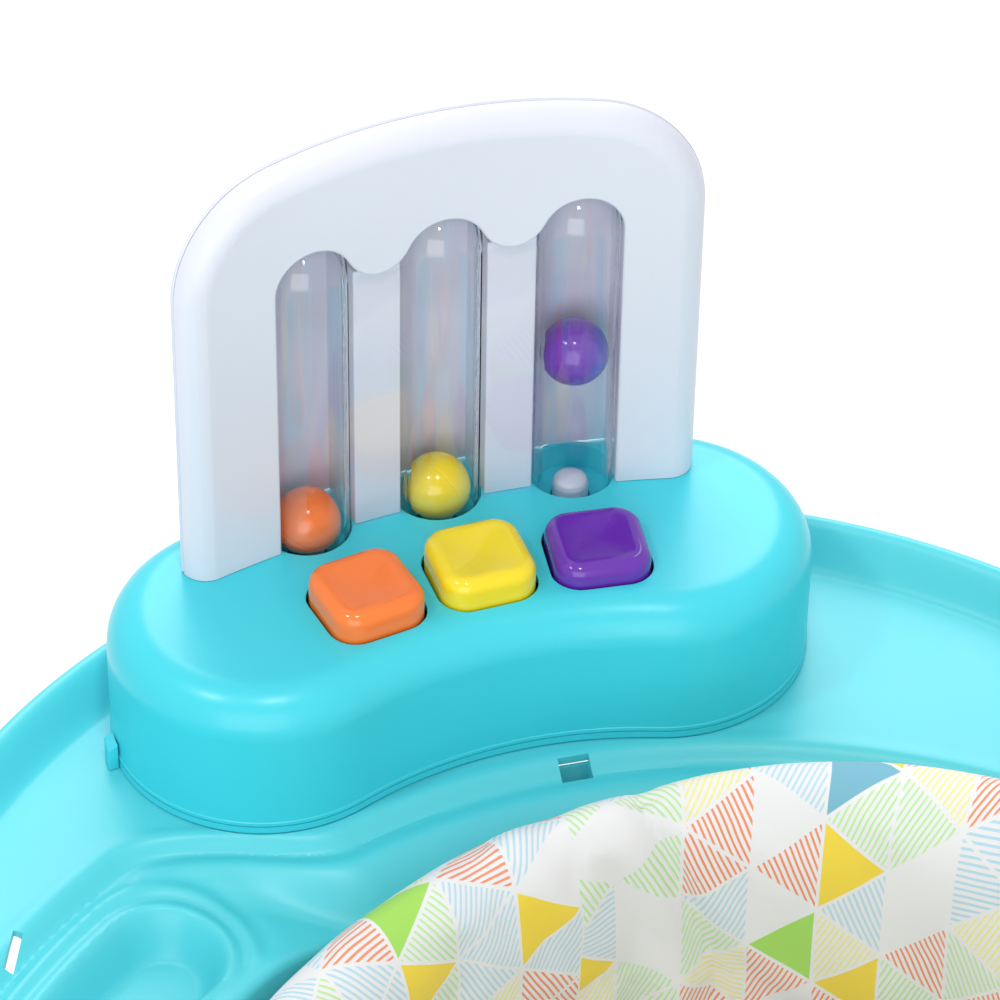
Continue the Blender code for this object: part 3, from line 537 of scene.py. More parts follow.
def rounded(points, steps=5, closed=False):
    """A line of (x, y, radius) with each corner turned into an arc of that radius."""
    result = []
    count = len(points)
    for index, (x, y, radius) in enumerate(points):
        here = Vector((x, y))
        if radius == 0 or (not closed and index in (0, count - 1)):
            result.append((x, y))
            continue
        back = Vector(points[index - 1][:2]) - here
        on = Vector(points[(index + 1) % count][:2]) - here
        angle = back.angle(on)
        reach = min(radius / math.tan(angle / 2), 0.49 * back.length, 0.49 * on.length)
        bend = reach * math.tan(angle / 2)
        centre = here + (back.normalized() + on.normalized()).normalized() * (bend / math.sin(angle / 2))
        first = here + back.normalized() * reach - centre
        last = here + on.normalized() * reach - centre
        sweep = math.pi - angle
        for step in range(steps + 1):
            share = step / steps
            spoke = (math.sin((1 - share) * sweep) * first + math.sin(share * sweep) * last) / math.sin(sweep)
            result.append(tuple(centre + spoke))
    return result


def mesh_of(name, points, faces):
    mesh = bpy.data.meshes.new(name)
    mesh.from_pydata([tuple(point) for point in points], [], faces)
    bm = bmesh.new()
    bm.from_mesh(mesh)
    bmesh.ops.remove_doubles(bm, verts=bm.verts, dist=0.000002)
    bmesh.ops.recalc_face_normals(bm, faces=bm.faces)
    bm.to_mesh(mesh)
    bm.free()
    return mesh


def loft(name, rings, torus=False, first=False, last=False):
    """Faces between closed rings of points, with a face over the first or last ring where asked."""
    rings = np.asarray(rings, float)
    rows, count = rings.shape[:2]
    faces = []
    for row in range(rows if torus else rows - 1):
        low = row * count
        high = ((row + 1) % rows) * count
        faces += [(low + i, low + (i + 1) % count, high + (i + 1) % count, high + i) for i in range(count)]
    if first:
        faces.append(tuple(range(count)))
    if last:
        faces.append(tuple(range((rows - 1) * count, rows * count)))
    return mesh_of(name, rings.reshape(-1, 3), faces)


def turned(name, profile, steps=64, matrix=None, closed=False):
    """A turned shape from a profile of (radius, height)."""
    angles = np.arange(steps) * 2 * math.pi / steps
    rings = [
        np.stack([radius * np.cos(angles), radius * np.sin(angles), np.full(steps, height)], -1)
        for radius, height in profile
    ]
    mesh = loft(name, rings, torus=closed)
    if matrix:
        mesh.transform(matrix)
    return mesh


def swept(name, points, radius, sides=12, closed=False):
    """A round bar along a line of points."""
    points = [Vector(point) for point in points]
    count = len(points)
    rings = []
    normal = None
    for index, point in enumerate(points):
        if closed:
            along = (points[(index + 1) % count] - points[index - 1]).normalized()
        else:
            along = (points[min(index + 1, count - 1)] - points[max(index - 1, 0)]).normalized()
        if normal is None:
            normal = along.orthogonal().normalized()
        normal = (normal - along * normal.dot(along)).normalized()
        side = along.cross(normal)
        rings.append([
            point + radius * (math.cos(t) * normal + math.sin(t) * side)
            for t in (2 * math.pi * i / sides for i in range(sides))
        ])
    return loft(name, rings, torus=closed, first=not closed, last=not closed)


def joined(name, meshes):
    bm = bmesh.new()
    for mesh in meshes:
        bm.from_mesh(mesh)
    result = bpy.data.meshes.new(name)
    bm.to_mesh(result)
    bm.free()
    return result


def box(size, matrix):
    bm = bmesh.new()
    bmesh.ops.create_cube(bm, size=1.0, matrix=matrix @ Matrix.Diagonal((*size, 1)))
    mesh = bpy.data.meshes.new("box")
    bm.to_mesh(mesh)
    bm.free()
    return mesh


def drum(radius, height, matrix, segments=64):
    bm = bmesh.new()
    bmesh.ops.create_cone(
        bm, cap_ends=True, segments=segments, radius1=radius, radius2=radius, depth=height, matrix=matrix
    )
    mesh = bpy.data.meshes.new("drum")
    bm.to_mesh(mesh)
    bm.free()
    return mesh


def applied(obj):
    """Bakes an object's modifiers into its mesh."""
    bpy.context.view_layer.update()
    graph = bpy.context.evaluated_depsgraph_get()
    mesh = bpy.data.meshes.new_from_object(obj.evaluated_get(graph))
    obj.modifiers.clear()
    obj.data = mesh
    return obj


def cut(mesh, tools, operation="DIFFERENCE", solver="EXACT"):
    """The mesh after each tool mesh is cut from it or joined to it."""
    obj = bpy.data.objects.new("work", mesh)
    bpy.context.scene.collection.objects.link(obj)
    helpers = []
    for tool in tools:
        helper = bpy.data.objects.new("tool", tool)
        bpy.context.scene.collection.objects.link(helper)
        helpers.append(helper)
        modifier = obj.modifiers.new("cut", "BOOLEAN")
        modifier.operation = operation
        modifier.solver = solver
        modifier.object = helper
    applied(obj)
    result = obj.data
    for spare in helpers + [obj]:
        bpy.data.objects.remove(spare)
    return result


def softened(mesh, width, segments=2, degrees=40):
    """The mesh with its sharp edges bevelled."""
    obj = bpy.data.objects.new("work", mesh)
    bpy.context.scene.collection.objects.link(obj)
    modifier = obj.modifiers.new("soft edges", "BEVEL")
    modifier.width = width
    modifier.segments = segments
    modifier.limit_method = "ANGLE"
    modifier.angle_limit = math.radians(degrees)
    modifier.use_clamp_overlap = True
    applied(obj)
    result = obj.data
    bpy.data.objects.remove(obj)
    return result


def thickened(mesh, thickness):
    obj = bpy.data.objects.new("work", mesh)
    bpy.context.scene.collection.objects.link(obj)
    modifier = obj.modifiers.new("wall", "SOLIDIFY")
    modifier.thickness = thickness
    modifier.offset = -1
    modifier.use_even_offset = True
    applied(obj)
    result = obj.data
    bpy.data.objects.remove(obj)
    return result


def piece(node, mesh, finish, degrees=35, weighted=False):
    """Puts a finished mesh in the place of a frame node: same body, with the named finish as its material."""
    obj = bpy.data.objects.new("finished_" + node, mesh)
    mesh.materials.clear()
    mesh.materials.append(finish_of(finish))
    mesh.shade_smooth()
    mesh.set_sharp_from_angle(angle=math.radians(degrees))
    bpy.context.scene.collection.objects.link(obj)
    if weighted:
        modifier = obj.modifiers.new("even shading", "WEIGHTED_NORMAL")
        modifier.keep_sharp = True
    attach(obj, BODY_OF[node])
    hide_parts(node)
    return obj


# ---------------------------------------------------------------- tray
def tray_outline(angle):
    """Distance from the seat axis to the tray's edge: lobe arcs joined by straight sides."""
    third = 2 * math.pi / 3
    turn = np.abs((angle + third / 2) % third - third / 2)
    half = math.pi / 3
    tangent = math.atan2(LOBE_RADIUS * math.sin(half), LOBE_OFFSET + LOBE_RADIUS * math.cos(half))
    lobe = LOBE_OFFSET * np.cos(turn) + np.sqrt(
        np.maximum(LOBE_RADIUS**2 - (LOBE_OFFSET * np.sin(turn)) ** 2, 0)
    )
    return np.where(turn > tangent, SIDE_DISTANCE / np.cos(half - turn), lobe)


def away_from_bowl(angle):
    return np.abs((angle - BOWL_ANGLE + math.pi) % (2 * math.pi) - math.pi)


def bowl_depth(radius, angle):
    middle_radius = (BOWL_INNER + BOWL_OUTER) / 2
    across = np.abs(radius - middle_radius) - (BOWL_OUTER - BOWL_INNER) / 2 + BOWL_CORNER
    along = (away_from_bowl(angle) - BOWL_HALF_ARC) * middle_radius + BOWL_CORNER
    outside = np.hypot(np.maximum(across, 0), np.maximum(along, 0))
    outside = outside + np.minimum(np.maximum(across, along), 0) - BOWL_CORNER
    return smooth(-outside / 0.012), outside


def bump_at(distance, centre, width):
    return np.exp(-(((distance - centre) / width) ** 2))


def tray_height(radius, angle):
    """Height of the tray's top inside the rim: ridge, step, soft band, slope and snack bowl."""
    tray = bpy.context.scene.jumper_tray
    side = smooth((math.radians(44.8) - away_from_bowl(angle)) / math.radians(14.8))
    inward = RIDGE_RADIUS + RIDGE_BULGE * side - radius
    step = tray.step * smooth(inward / 0.0090) + 0.0008 * bump_at(inward, 0.0080, 0.0036)
    band = tray.band * bump_at(inward, 0.0150, 0.0046)
    crown = 0.0006 * bump_at(inward, -0.0018, 0.0030)
    slope = (0.002 + 0.014 * (1 - side)) * smooth((inward - 0.016) / 0.028)
    bowl, outside = bowl_depth(radius, angle)
    lip = tray.lip * (bump_at(outside, 0.0010, 0.0030) - bump_at(outside, 0.0050, 0.0028))
    rise = 0.8 * tray.lip * (bump_at(outside, 0.0092, 0.0032) - 0.8 * bump_at(outside, 0.0145, 0.0040))
    clear = smooth((radius - 0.236) / 0.004)
    return TRAY_FLOOR - step + band + crown - slope - BOWL_DEPTH * bowl + (lip + rise) * clear


def tray_angles(count):
    """Angles round the tray, closest together over the front of the toy's lobe."""
    turns = np.linspace(-math.pi, math.pi, 3601)
    near = smooth((math.radians(48) - np.abs(turns - math.radians(14))) / math.radians(12))
    travel = np.concatenate([[0], np.cumsum(1 + 3 * near[:-1])])
    return np.interp(np.arange(count) / count * travel[-1], travel, turns)


def rim_height(inset):
    """Height of the raised rim above the floor, from its foot over the crest to the edge."""
    if inset > RIM_CREST:
        return RIM_RISE * float(smooth((RIM_WIDTH - inset) / (RIM_WIDTH - RIM_CREST)))
    return RIM_RISE * (0.62 + 0.38 * math.sqrt(1 - (1 - inset / RIM_CREST) ** 2))


def angle_near_zero(angle):
    return (angle + math.pi) % (2 * math.pi) - math.pi


def base_outline(inset=0.0, steps=24):
    """The popper base's outline: two round ends, a hollow front and a curved back."""
    def arc(centre, radius, start, end, count):
        turns = np.linspace(start, end, count + 1)
        return list(zip(centre[0] + radius * np.cos(turns), centre[1] + radius * np.sin(turns)))

    end = math.hypot(BASE_END_X, BASE_END_Y)
    radius = BASE_END_RADIUS - inset
    to_back = math.atan2(BASE_END_Y, BASE_END_X)
    to_front = math.atan2(BASE_FRONT_CENTRE_Y - BASE_END_Y, -BASE_END_X)
    reach = math.hypot(BASE_END_X, BASE_END_Y - BASE_FRONT_CENTRE_Y) - BASE_END_RADIUS + inset
    right = arc((BASE_END_X, BASE_END_Y), radius, to_front, to_back, 2 * steps)
    back = arc((0, 0), end + radius, to_back, math.pi - to_back, steps)
    left = [(-x, y) for x, y in reversed(right)]
    start = math.pi + to_front
    front = arc((0, BASE_FRONT_CENTRE_Y), reach, math.pi - start, start, steps)
    return [(x, y + SEAT.y) for x, y in right[:-1] + back + left[1:-1] + front[:-1]]


def base_ring(inset, height, steps=24):
    return [(x, y, height) for x, y in base_outline(inset, steps)]


class JUMPER_OT_tray(bpy.types.Operator):
    """Tray with its rim, ridge, snack bowl, slots and the pocket that the toy stands in"""
    bl_idname = "jumper.tray"
    bl_label = "Tray"

    def execute(self, context):
        count = context.scene.jumper_tray.columns
        angles = tray_angles(count)
        edge = tray_outline(angles)
        start = OPENING_RADIUS + 0.004
        brow = tray_height(np.full(count, start), angles)
        rings = [polar(OPENING_RADIUS, angles, TRAY_FLOOR - LIP_DROP)]
        for turn in np.linspace(0, math.pi / 2, 5)[:-1]:
            rings.append(
                polar(start - 0.004 * math.cos(turn), angles, brow - 0.004 * (1 - math.sin(turn)))
            )
        for share in np.linspace(0, 1, 84):
            radius = start + share * (edge - RIM_WIDTH - start)
            rings.append(polar(radius, angles, tray_height(radius, angles)))
        for inset in [
            *np.arange(0.0185, RIM_CREST, -0.0012), 0.0045, 0.0034, 0.0023, 0.0014, 0.0007, 0.0002,
            0.0,
        ]:
            rings.append(polar(edge - inset, angles, tray_height(edge - inset, angles) + rim_height(inset)))
        for drop in (0.0, 0.012, 0.026, SKIRT_DEPTH - 0.001, SKIRT_DEPTH):
            rings.append(polar(edge, angles, TRAY_FLOOR - drop))
        turn = math.radians(-5.4)
        liner = box((0.0146, 0.0110, 0.011), turned_matrix(at(0.261, turn, TRAY_FLOOR - 0.0105), turn))
        mesh = cut(thickened(loft("tray", rings), WALL), [liner], "UNION", "MANIFOLD")
        tools = [box((0.012, 0.0084, 0.06), turned_matrix(at(0.261, turn, TRAY_FLOOR), turn))]
        slit = turned_matrix(at(0.309, math.radians(40.2), TRAY_FLOOR), math.radians(60.9))
        tools.append(box((0.016, 0.0035, 0.06), slit))
        pocket = [base_ring(-0.0006, TRAY_FLOOR + GAP / 2), base_ring(-0.0006, POPPER_PLANE)]
        tools.append(loft("pocket", pocket, first=True, last=True))
        for hand in (-1, 1):
            place = (hand * BASE_END_X, BASE_END_Y + SEAT.y, TRAY_FLOOR)
            tools.append(drum(0.0023, 0.02, Matrix.Translation(place), 24))
        piece("tray", cut(mesh, tools, solver="MANIFOLD"), "tray", 32)
        return {"FINISHED"}


# ---------------------------------------------------------------- popper base
def popper_place(name, radius, height):
    return at(radius, POPPER_ANGLES[name], height)


def rounded_square(side, corner, steps=8):
    half = side / 2
    corners = [(half, -half, corner), (half, half, corner), (-half, half, corner), (-half, -half, corner)]
    return rounded(corners, steps, closed=True)


class JUMPER_OT_popper_base(bpy.types.Operator):
    """Base of the ball popper: shell with its button wells, floor, clip and screws"""
    bl_idname = "jumper.popper_base"
    bl_label = "Popper base"

    def execute(self, context):
        low = TRAY_FLOOR + BASE_FLOOR_THICKNESS + 2 * GAP
        line = TRAY_FLOOR + 0.0060
        rings = [base_ring(-0.0001, low - GAP), base_ring(-0.0003, low), base_ring(-0.0003, line - 0.0004)]
        rings += [base_ring(0.0, line), base_ring(0.0, line + 0.0012)]
        for turn in np.linspace(0, math.pi / 2, 9):
            inset = BASE_EDGE * (1 - math.cos(turn))
            rings.append(base_ring(inset, POPPER_PLANE - BASE_EDGE * (1 - math.sin(turn))))
        cups = []
        for name in POPPER_ANGLES:
            place = popper_place(name, TUBE_CIRCLE, POPPER_PLANE - 0.0015 - RECESS_DEPTH / 2)
            cups.append(drum(RECESS_RADIUS + 0.002, RECESS_DEPTH + 0.001, Matrix.Translation(place)))
        shell = cut(thickened(loft("shell", rings, last=True), WALL), cups, "UNION")
        tools = []
        for name, angle in POPPER_ANGLES.items():
            well = rounded_square(0.0392, 0.0111)
            place = turned_matrix(popper_place(name, middle_circle(name), POPPER_PLANE), angle)
            prism = loft("well", [[(x, y, z) for x, y in well] for z in (-0.01, 0.01)], first=True, last=True)
            prism.transform(place)
            tools.append(prism)
            spot = Matrix.Translation(
                popper_place(name, TUBE_CIRCLE, POPPER_PLANE + 0.005 - RECESS_DEPTH / 2)
            )
            tools.append(drum(RECESS_RADIUS, RECESS_DEPTH + 0.01, spot, 96))
            tools.append(drum(0.0076, 0.05, spot, 48))
        shell = softened(cut(shell, tools), 0.0006, 2, 50)
        piece("popper_base_shell", shell, "toy", 32, weighted=True)

        bottom = TRAY_FLOOR + GAP
        top = TRAY_FLOOR + BASE_FLOOR_THICKNESS
        edge = [(0.0004, bottom), (-0.0003, bottom + 0.0006), (-0.0003, top - 0.0001), (0.0001, top)]
        slab = loft("floor", [base_ring(inset, z) for inset, z in edge], first=True, last=True)
        parts = [slab]
        for hand in (-1, 1):
            boss = [(0.0025, 0), (0.0025, 0.0145), (0.006, 0.0145), (0.006, 0)]
            place = Matrix.Translation((hand * BASE_END_X, BASE_END_Y + SEAT.y, top))
            parts.append(turned("boss", boss, 32, place, closed=True))
        for name, angle in POPPER_ANGLES.items():
            for hand in (-1, 1):
                place = turned_matrix(at(PIVOT_CIRCLE, angle, top), angle)
                ear = box((0.003, 0.010, 0.034), place @ Matrix.Translation((hand * 0.0085, 0, 0.0165)))
                parts.append(softened(ear, 0.0005, 1))
        piece("popper_base_floor", joined("floor", parts), "toy", 32)

        profile = [(0, 0.018, 0), (0.002, 0.0175, 0), (0.002, -0.0036, 0), (0.0045, -0.0036, 0.0003)]
        profile += [(0.0040, -0.0062, 0.0012), (0, -0.0066, 0)]
        for side, hand in (("left", -1), ("right", 1)):
            place = Matrix.Translation((hand * BASE_END_X, BASE_END_Y + SEAT.y, TRAY_FLOOR))
            screw = turned("screw", rounded(profile), 32, place)
            cross = [
                box(size, place @ Matrix.Translation((0, 0, -0.0064)))
                for size in ((0.0048, 0.0009, 0.003), (0.0009, 0.0048, 0.003))
            ]
            piece(f"popper_screw_{side}", cut(screw, cross), "steel")

        outline = [
            (-0.0012, -0.004, 0.0006), (0.0028, -0.004, 0.0003), (0.0028, 0.004, 0.0003),
            (-0.0004, 0.004, 0.0006),
        ]
        flat = rounded(outline, 4, closed=True)
        place = Matrix.Translation((-BASE_END_X - BASE_END_RADIUS - 0.0033, BASE_END_Y + SEAT.y, TRAY_FLOOR))
        rings = [[(x, y, GAP) for x, y in flat], [(x, y, 0.012 - 0.6 * (0.0028 - x)) for x, y in flat]]
        notch = box((0.006, 0.0022, 0.0022), Matrix.Translation((0.0008, 0.0, 0.0062)))
        clip = cut(loft("clip", rings, first=True, last=True), [notch])
        clip.transform(place)
        piece("popper_clip", softened(clip, 0.0004, 2), "toy")
        return {"FINISHED"}


def middle_circle(name):
    """Distance of a button's centre from the seat axis."""
    place = middle(f"button_{name}")
    return math.hypot(place.x - SEAT.x, place.y - SEAT.y)


# ---------------------------------------------------------------- popper panel and tubes
def panel_arch(steps=16):
    """The arch seen from the front, from the right foot round to the left one."""
    crown = PANEL_TOP - PANEL_CROWN_RADIUS
    centre_x = PANEL_HALF_WIDTH - PANEL_CORNER
    rise = math.sqrt((PANEL_CROWN_RADIUS - PANEL_CORNER) ** 2 - centre_x**2)
    joint = math.atan2(rise, centre_x)
    right = [
        (centre_x + PANEL_CORNER * math.cos(t), crown + rise + PANEL_CORNER * math.sin(t))
        for t in np.linspace(0, joint, steps + 1)
    ]
    top = [
        (PANEL_CROWN_RADIUS * math.cos(t), crown + PANEL_CROWN_RADIUS * math.sin(t))
        for t in np.linspace(joint, math.pi - joint, 2 * steps + 1)
    ]
    side = [(PANEL_HALF_WIDTH, z) for z in np.linspace(GAP, crown + rise, 9)[:-1]]
    left = [(-x, y) for x, y in reversed(right)]
    return side + right[:-1] + top + left[1:] + [(-x, y) for x, y in reversed(side)]


def window_edge(radius, bottom, steps=18):
    """The scalloped opening for the tubes, from its left foot round to the right one, with round tongues."""
    pitch = PANEL_FRONT * POPPER_PITCH
    shift = -PANEL_FRONT * POPPER_TURN
    top = WINDOW_SPRING + radius * math.sin(ARCH_END)
    low = (4 * bottom - top) / 3
    lean = (top - low) * math.tan(ARCH_END)
    points = [(shift - pitch - radius, z) for z in np.linspace(GAP, WINDOW_SPRING, 9)[:-1]]
    for index in (-1, 0, 1):
        centre = shift + index * pitch
        start = math.pi if index == -1 else math.pi - ARCH_END
        end = 0 if index == 1 else ARCH_END
        points += [
            (centre + radius * math.cos(t), WINDOW_SPRING + radius * math.sin(t))
            for t in np.linspace(start, end, steps + 1)
        ]
        if index < 1:
            left = centre + radius * math.cos(ARCH_END)
            right = centre + pitch - radius * math.cos(ARCH_END)
            for t in np.linspace(0, 1, 13)[1:-1]:
                shares = ((1 - t) ** 3, 3 * t * (1 - t) ** 2, 3 * t * t * (1 - t), t**3)
                x = sum(
                    share * value for share, value in zip(shares, (left, left + lean, right - lean, right))
                )
                points.append((x, (shares[0] + shares[3]) * top + (shares[1] + shares[2]) * low))
    points += [(shift + pitch + radius, z) for z in np.linspace(WINDOW_SPRING, GAP, 9)[1:]]
    return points


def outward(outline):
    """Unit vectors square to an outline, level along its bottom edge."""
    points = np.array(outline)
    count = len(points)
    result = np.zeros_like(points)
    for index in range(count):
        total = np.zeros(2)
        for first, second in ((index - 1, index), (index, (index + 1) % count)):
            edge = points[second] - points[first]
            on_bottom = points[first][1] <= GAP * 1.01 and points[second][1] <= GAP * 1.01
            if not on_bottom:
                total += np.array([edge[1], -edge[0]]) / max(np.linalg.norm(edge), 1e-9)
        if points[index][1] <= GAP * 1.01:
            total[1] = 0
        result[index] = total / max(np.linalg.norm(total), 1e-9)
    return result


def panel_half(outline, rounding, near, far):
    """One moulding of the panel: its edge is rounded at the near face and plain at the far one."""
    points = np.array(outline)
    normals = outward(outline)
    rounding = np.array(rounding)[:, None]
    sign = 1 if far > near else -1
    layers = [(points - normals * 0.0006, far), (points, far - sign * 0.0008)]
    for turn in np.linspace(0, math.pi / 2, 9):
        layers.append((points - normals * rounding * (1 - math.cos(turn)), turn))
    rings = []
    for flat, depth in layers[:2]:
        rings.append(np.column_stack([flat, np.full(len(flat), depth)]))
    for flat, turn in layers[2:]:
        depth = near + sign * rounding[:, 0] * (1 - math.sin(turn))
        rings.append(np.column_stack([flat, depth]))
    mesh = loft("panel", rings, first=True, last=True)
    bm = bmesh.new()
    bm.from_mesh(mesh)
    step = 0.004
    columns = int(PANEL_HALF_WIDTH / step)
    for index in range(-columns, columns + 1):
        geometry = bm.verts[:] + bm.edges[:] + bm.faces[:]
        bmesh.ops.bisect_plane(bm, geom=geometry, plane_co=(index * step, 0, 0), plane_no=(1, 0, 0))
    for vert in bm.verts:
        along, height, radius = vert.co
        vert.co = at(radius, -along / PANEL_FRONT, POPPER_PLANE + height)
    bmesh.ops.recalc_face_normals(bm, faces=bm.faces)
    bm.to_mesh(mesh)
    bm.free()
    return mesh


class JUMPER_OT_panel(bpy.types.Operator):
    """White upright panel behind the tubes, in two mouldings"""
    bl_idname = "jumper.panel"
    bl_label = "Panel"

    def execute(self, context):
        popper = context.scene.jumper_popper
        arch = panel_arch()
        window = window_edge(WINDOW_RADIUS, TONGUE_BOTTOM)
        cavity = window_edge(CAVITY_RADIUS, TONGUE_BOTTOM + 0.0045)
        rounding = [popper.panel_round] * len(arch) + [popper.window_round] * len(window)
        front = panel_half(arch + window, rounding, PANEL_FRONT, PANEL_SPLIT)
        piece("panel_front", front, "white", 32, weighted=True)

        rounding = [0.0008] * (len(arch) + len(cavity))
        back = [panel_half(arch + cavity, rounding, PANEL_BACK, PANEL_SPLIT + GAP)]
        side, top = HOUSING_HALF_WIDTH, HOUSING_TOP
        outline = rounded([(side, GAP, 0), (side, top, 0.014), (-side, top, 0.014), (-side, GAP, 0)], 8)
        rim = outline + window_edge(CAVITY_RADIUS, TONGUE_BOTTOM + 0.0045)
        back.append(panel_half(rim, [0.0008] * len(rim), HOUSING_RIM_BACK, PANEL_BACK - 0.0002))
        back.append(panel_half(outline, [0.0025] * len(outline), HOUSING_BACK, HOUSING_RIM_BACK - 0.0004))
        for hand in (-1, 1):
            centre = PANEL_FRONT * (hand * POPPER_PITCH / 2 - POPPER_TURN)
            low, high = GAP, TONGUE_BOTTOM + 0.0015
            rib = [
                (centre + 0.0092, low), (centre + 0.0092, high), (centre - 0.0092, high),
                (centre - 0.0092, low),
            ]
            back.append(panel_half(rib, [0.0008] * 4, 0.3503, HOUSING_RIM_BACK + 0.001))
        piece("panel_back", joined("panel_back", back), "white", 32, weighted=True)
        return {"FINISHED"}


class JUMPER_OT_tubes(bpy.types.Operator):
    """Three clear domed tubes joined by webs"""
    bl_idname = "jumper.tubes"
    bl_label = "Clear tubes"

    def execute(self, context):
        centre = TUBE_TOP - TUBE_RADIUS_OUT
        turns = np.linspace(0, math.pi / 2, 17)
        outer = [(TUBE_RADIUS_OUT * math.sin(t), centre + TUBE_RADIUS_OUT * math.cos(t)) for t in turns]
        inner = [(TUBE_RADIUS_IN * math.cos(t), centre + TUBE_RADIUS_IN * math.sin(t)) for t in turns]
        profile = outer + [(TUBE_RADIUS_OUT, -TUBE_SINK), (TUBE_RADIUS_IN, -TUBE_SINK)] + inner
        tubes = [
            turned("tube", profile, 72, Matrix.Translation(popper_place(name, TUBE_CIRCLE, POPPER_PLANE)))
            for name in POPPER_ANGLES
        ]
        height = TONGUE_BOTTOM - 0.0006 - GAP
        width = 2 * (TUBE_CIRCLE * math.sin(POPPER_PITCH / 2) - TUBE_RADIUS_IN + 0.0009)
        for hand in (-1, 1):
            angle = POPPER_TURN + hand * POPPER_PITCH / 2
            place = turned_matrix(at(WEB_RADIUS, angle, POPPER_PLANE + height / 2 + GAP), angle)
            tubes.append(box((width, 0.002, height), place))
        piece("tube_window", cut(tubes[0], tubes[1:], "UNION"), "clear", 40)
        return {"FINISHED"}


# ---------------------------------------------------------------- popper works
class JUMPER_OT_balls(bpy.types.Operator):
    """Balls with a fine parting groove"""
    bl_idname = "jumper.balls"
    bl_label = "Balls"

    def execute(self, context):
        groove = context.scene.jumper_popper.groove
        for index, name in enumerate(POPPER_ANGLES):
            low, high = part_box(f"ball_{name}")
            radius = (high.z - low.z) / 2
            turns = list(
                np.radians(np.concatenate([
                    np.arange(0, 88, 4), np.arange(88, 92.1, 0.5), np.arange(96, 181, 4)
                ]))
            )
            profile = []
            for turn in turns:
                reach = radius - groove * math.exp(-(((math.degrees(turn) - 90) / 0.9) ** 2))
                profile.append((reach * math.sin(turn), reach * math.cos(turn)))
            place = turned_matrix(middle(f"ball_{name}"), 0.7 + 1.3 * index, 0.5 + 0.8 * index)
            piece(f"ball_{name}", turned("ball", profile, 64, place), name, 60)
        return {"FINISHED"}


class JUMPER_OT_plungers(bpy.types.Operator):
    """White plungers under the balls"""
    bl_idname = "jumper.plungers"
    bl_label = "Plungers"

    def execute(self, context):
        for name in POPPER_ANGLES:
            low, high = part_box(f"plunger_{name}")
            place = middle(f"plunger_{name}")
            tall = high.z - low.z
            profile = [(0, 0, 0), (0.0045, -0.0005, 0.006), (0.0063, -0.0016, 0.002), (0.007, -0.0036, 0.002)]
            profile += [(0.007, 0.002 - tall, 0.0006), (0.004, -tall, 0.0004), (0, -tall, 0)]
            matrix = Matrix.Translation((place.x, place.y, high.z))
            piece(f"plunger_{name}", turned("plunger", rounded(profile), 48, matrix), "white")
        return {"FINISHED"}


class JUMPER_OT_buttons(bpy.types.Operator):
    """Glossy pillow-shaped buttons with a dished top"""
    bl_idname = "jumper.buttons"
    bl_label = "Buttons"

    def execute(self, context):
        popper = context.scene.jumper_popper
        soft = popper.button_round
        for name, angle in POPPER_ANGLES.items():
            low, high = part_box(f"button_{name}")
            foot = high.z - 0.0236
            outline = rounded_square(0.037, 0.010, 10)
            rings = [[(x, y, foot) for x, y in outline], [(x, y, high.z - soft) for x, y in outline]]
            for turn in np.linspace(0, math.pi / 2, 10)[1:]:
                inset = soft * (1 - math.cos(turn))
                top = high.z - soft * (1 - math.sin(turn))
                rings.append([(x, y, top) for x, y in rounded_square(0.037 - 2 * inset, 0.010 - inset, 10)])
            rim = rounded_square(0.037 - 2 * soft, 0.010 - soft, 10)
            half = 0.0185 - soft
            for share in np.linspace(0.93, 0.0, 14):
                flat = [(x * share, y * share) for x, y in rim]
                dip = [popper.button_dish * (1 - (x / half) ** 2) * (1 - (y / half) ** 2) for x, y in flat]
                rings.append([(x, y, high.z - low_by) for (x, y), low_by in zip(flat, dip)])
            body = loft("button", rings, first=True)
            body.transform(turned_matrix(popper_place(name, middle_circle(name), 0.0), angle))
            stem = [
                (0, 0.0005), (0.0025, 0.0005), (0.0025, low.z + 0.0005 - foot),
                (0.0018, low.z - foot), (0, low.z - foot),
            ]
            place = Matrix.Translation(popper_place(name, middle_circle(name), foot))
            piece(f"button_{name}", joined("button", [body, turned("stem", stem, 24, place)]), name, 40)
        return {"FINISHED"}


class JUMPER_OT_works(bpy.types.Operator):
    """Rockers, pins and return springs inside the base"""
    bl_idname = "jumper.works"
    bl_label = "Popper works"

    def execute(self, context):
        for name in POPPER_ANGLES:
            for node, finish in ((f"rocker_{name}", "white"), (f"rocker_pin_{name}", "steel")):
                mesh = frame["nodes"][node].data
                mesh.materials.clear()
                mesh.materials.append(finish_of(finish))
            node = f"return_spring_{name}"
            low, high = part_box(node)
            spring = coil(0.0032, 0.0005, low, high, 4, 8)
            obj = piece(node, spring, "steel", 80)
            stretch(obj, f"button_{name}", high, low)
        return {"FINISHED"}


def coil(radius, wire, low, high, turns, sides):
    """A coil spring that fills a box, with its end turns closed up flat."""
    count = turns * 28
    centre = (low + high) / 2
    points = []
    for index in range(count + 1):
        share = index / count
        turn = 2 * math.pi * turns * share
        climb = (
            float(smooth((share - 0.0) / 0.5)) * 0.5
            if share < 0.5 else 0.5 + 0.5 * (1 - float(smooth((1 - share) / 0.5)))
        )
        climb = 0.55 * share + 0.45 * climb
        height = low.z + wire + (high.z - low.z - 2 * wire) * climb
        points.append((centre.x + radius * math.cos(turn), centre.y + radius * math.sin(turn), height))
    return swept("coil", points, wire, sides)


def stretch(obj, body, start, end):
    """Takes a spring off its body and bakes its place into its mesh; start, on the fixed frame, and end, on a
    moving body, are swapped for a button but not used further.
    """
    obj.parent = None
    del obj["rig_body"]
    if body.startswith("button"):
        start, end = end, start
    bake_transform(obj)


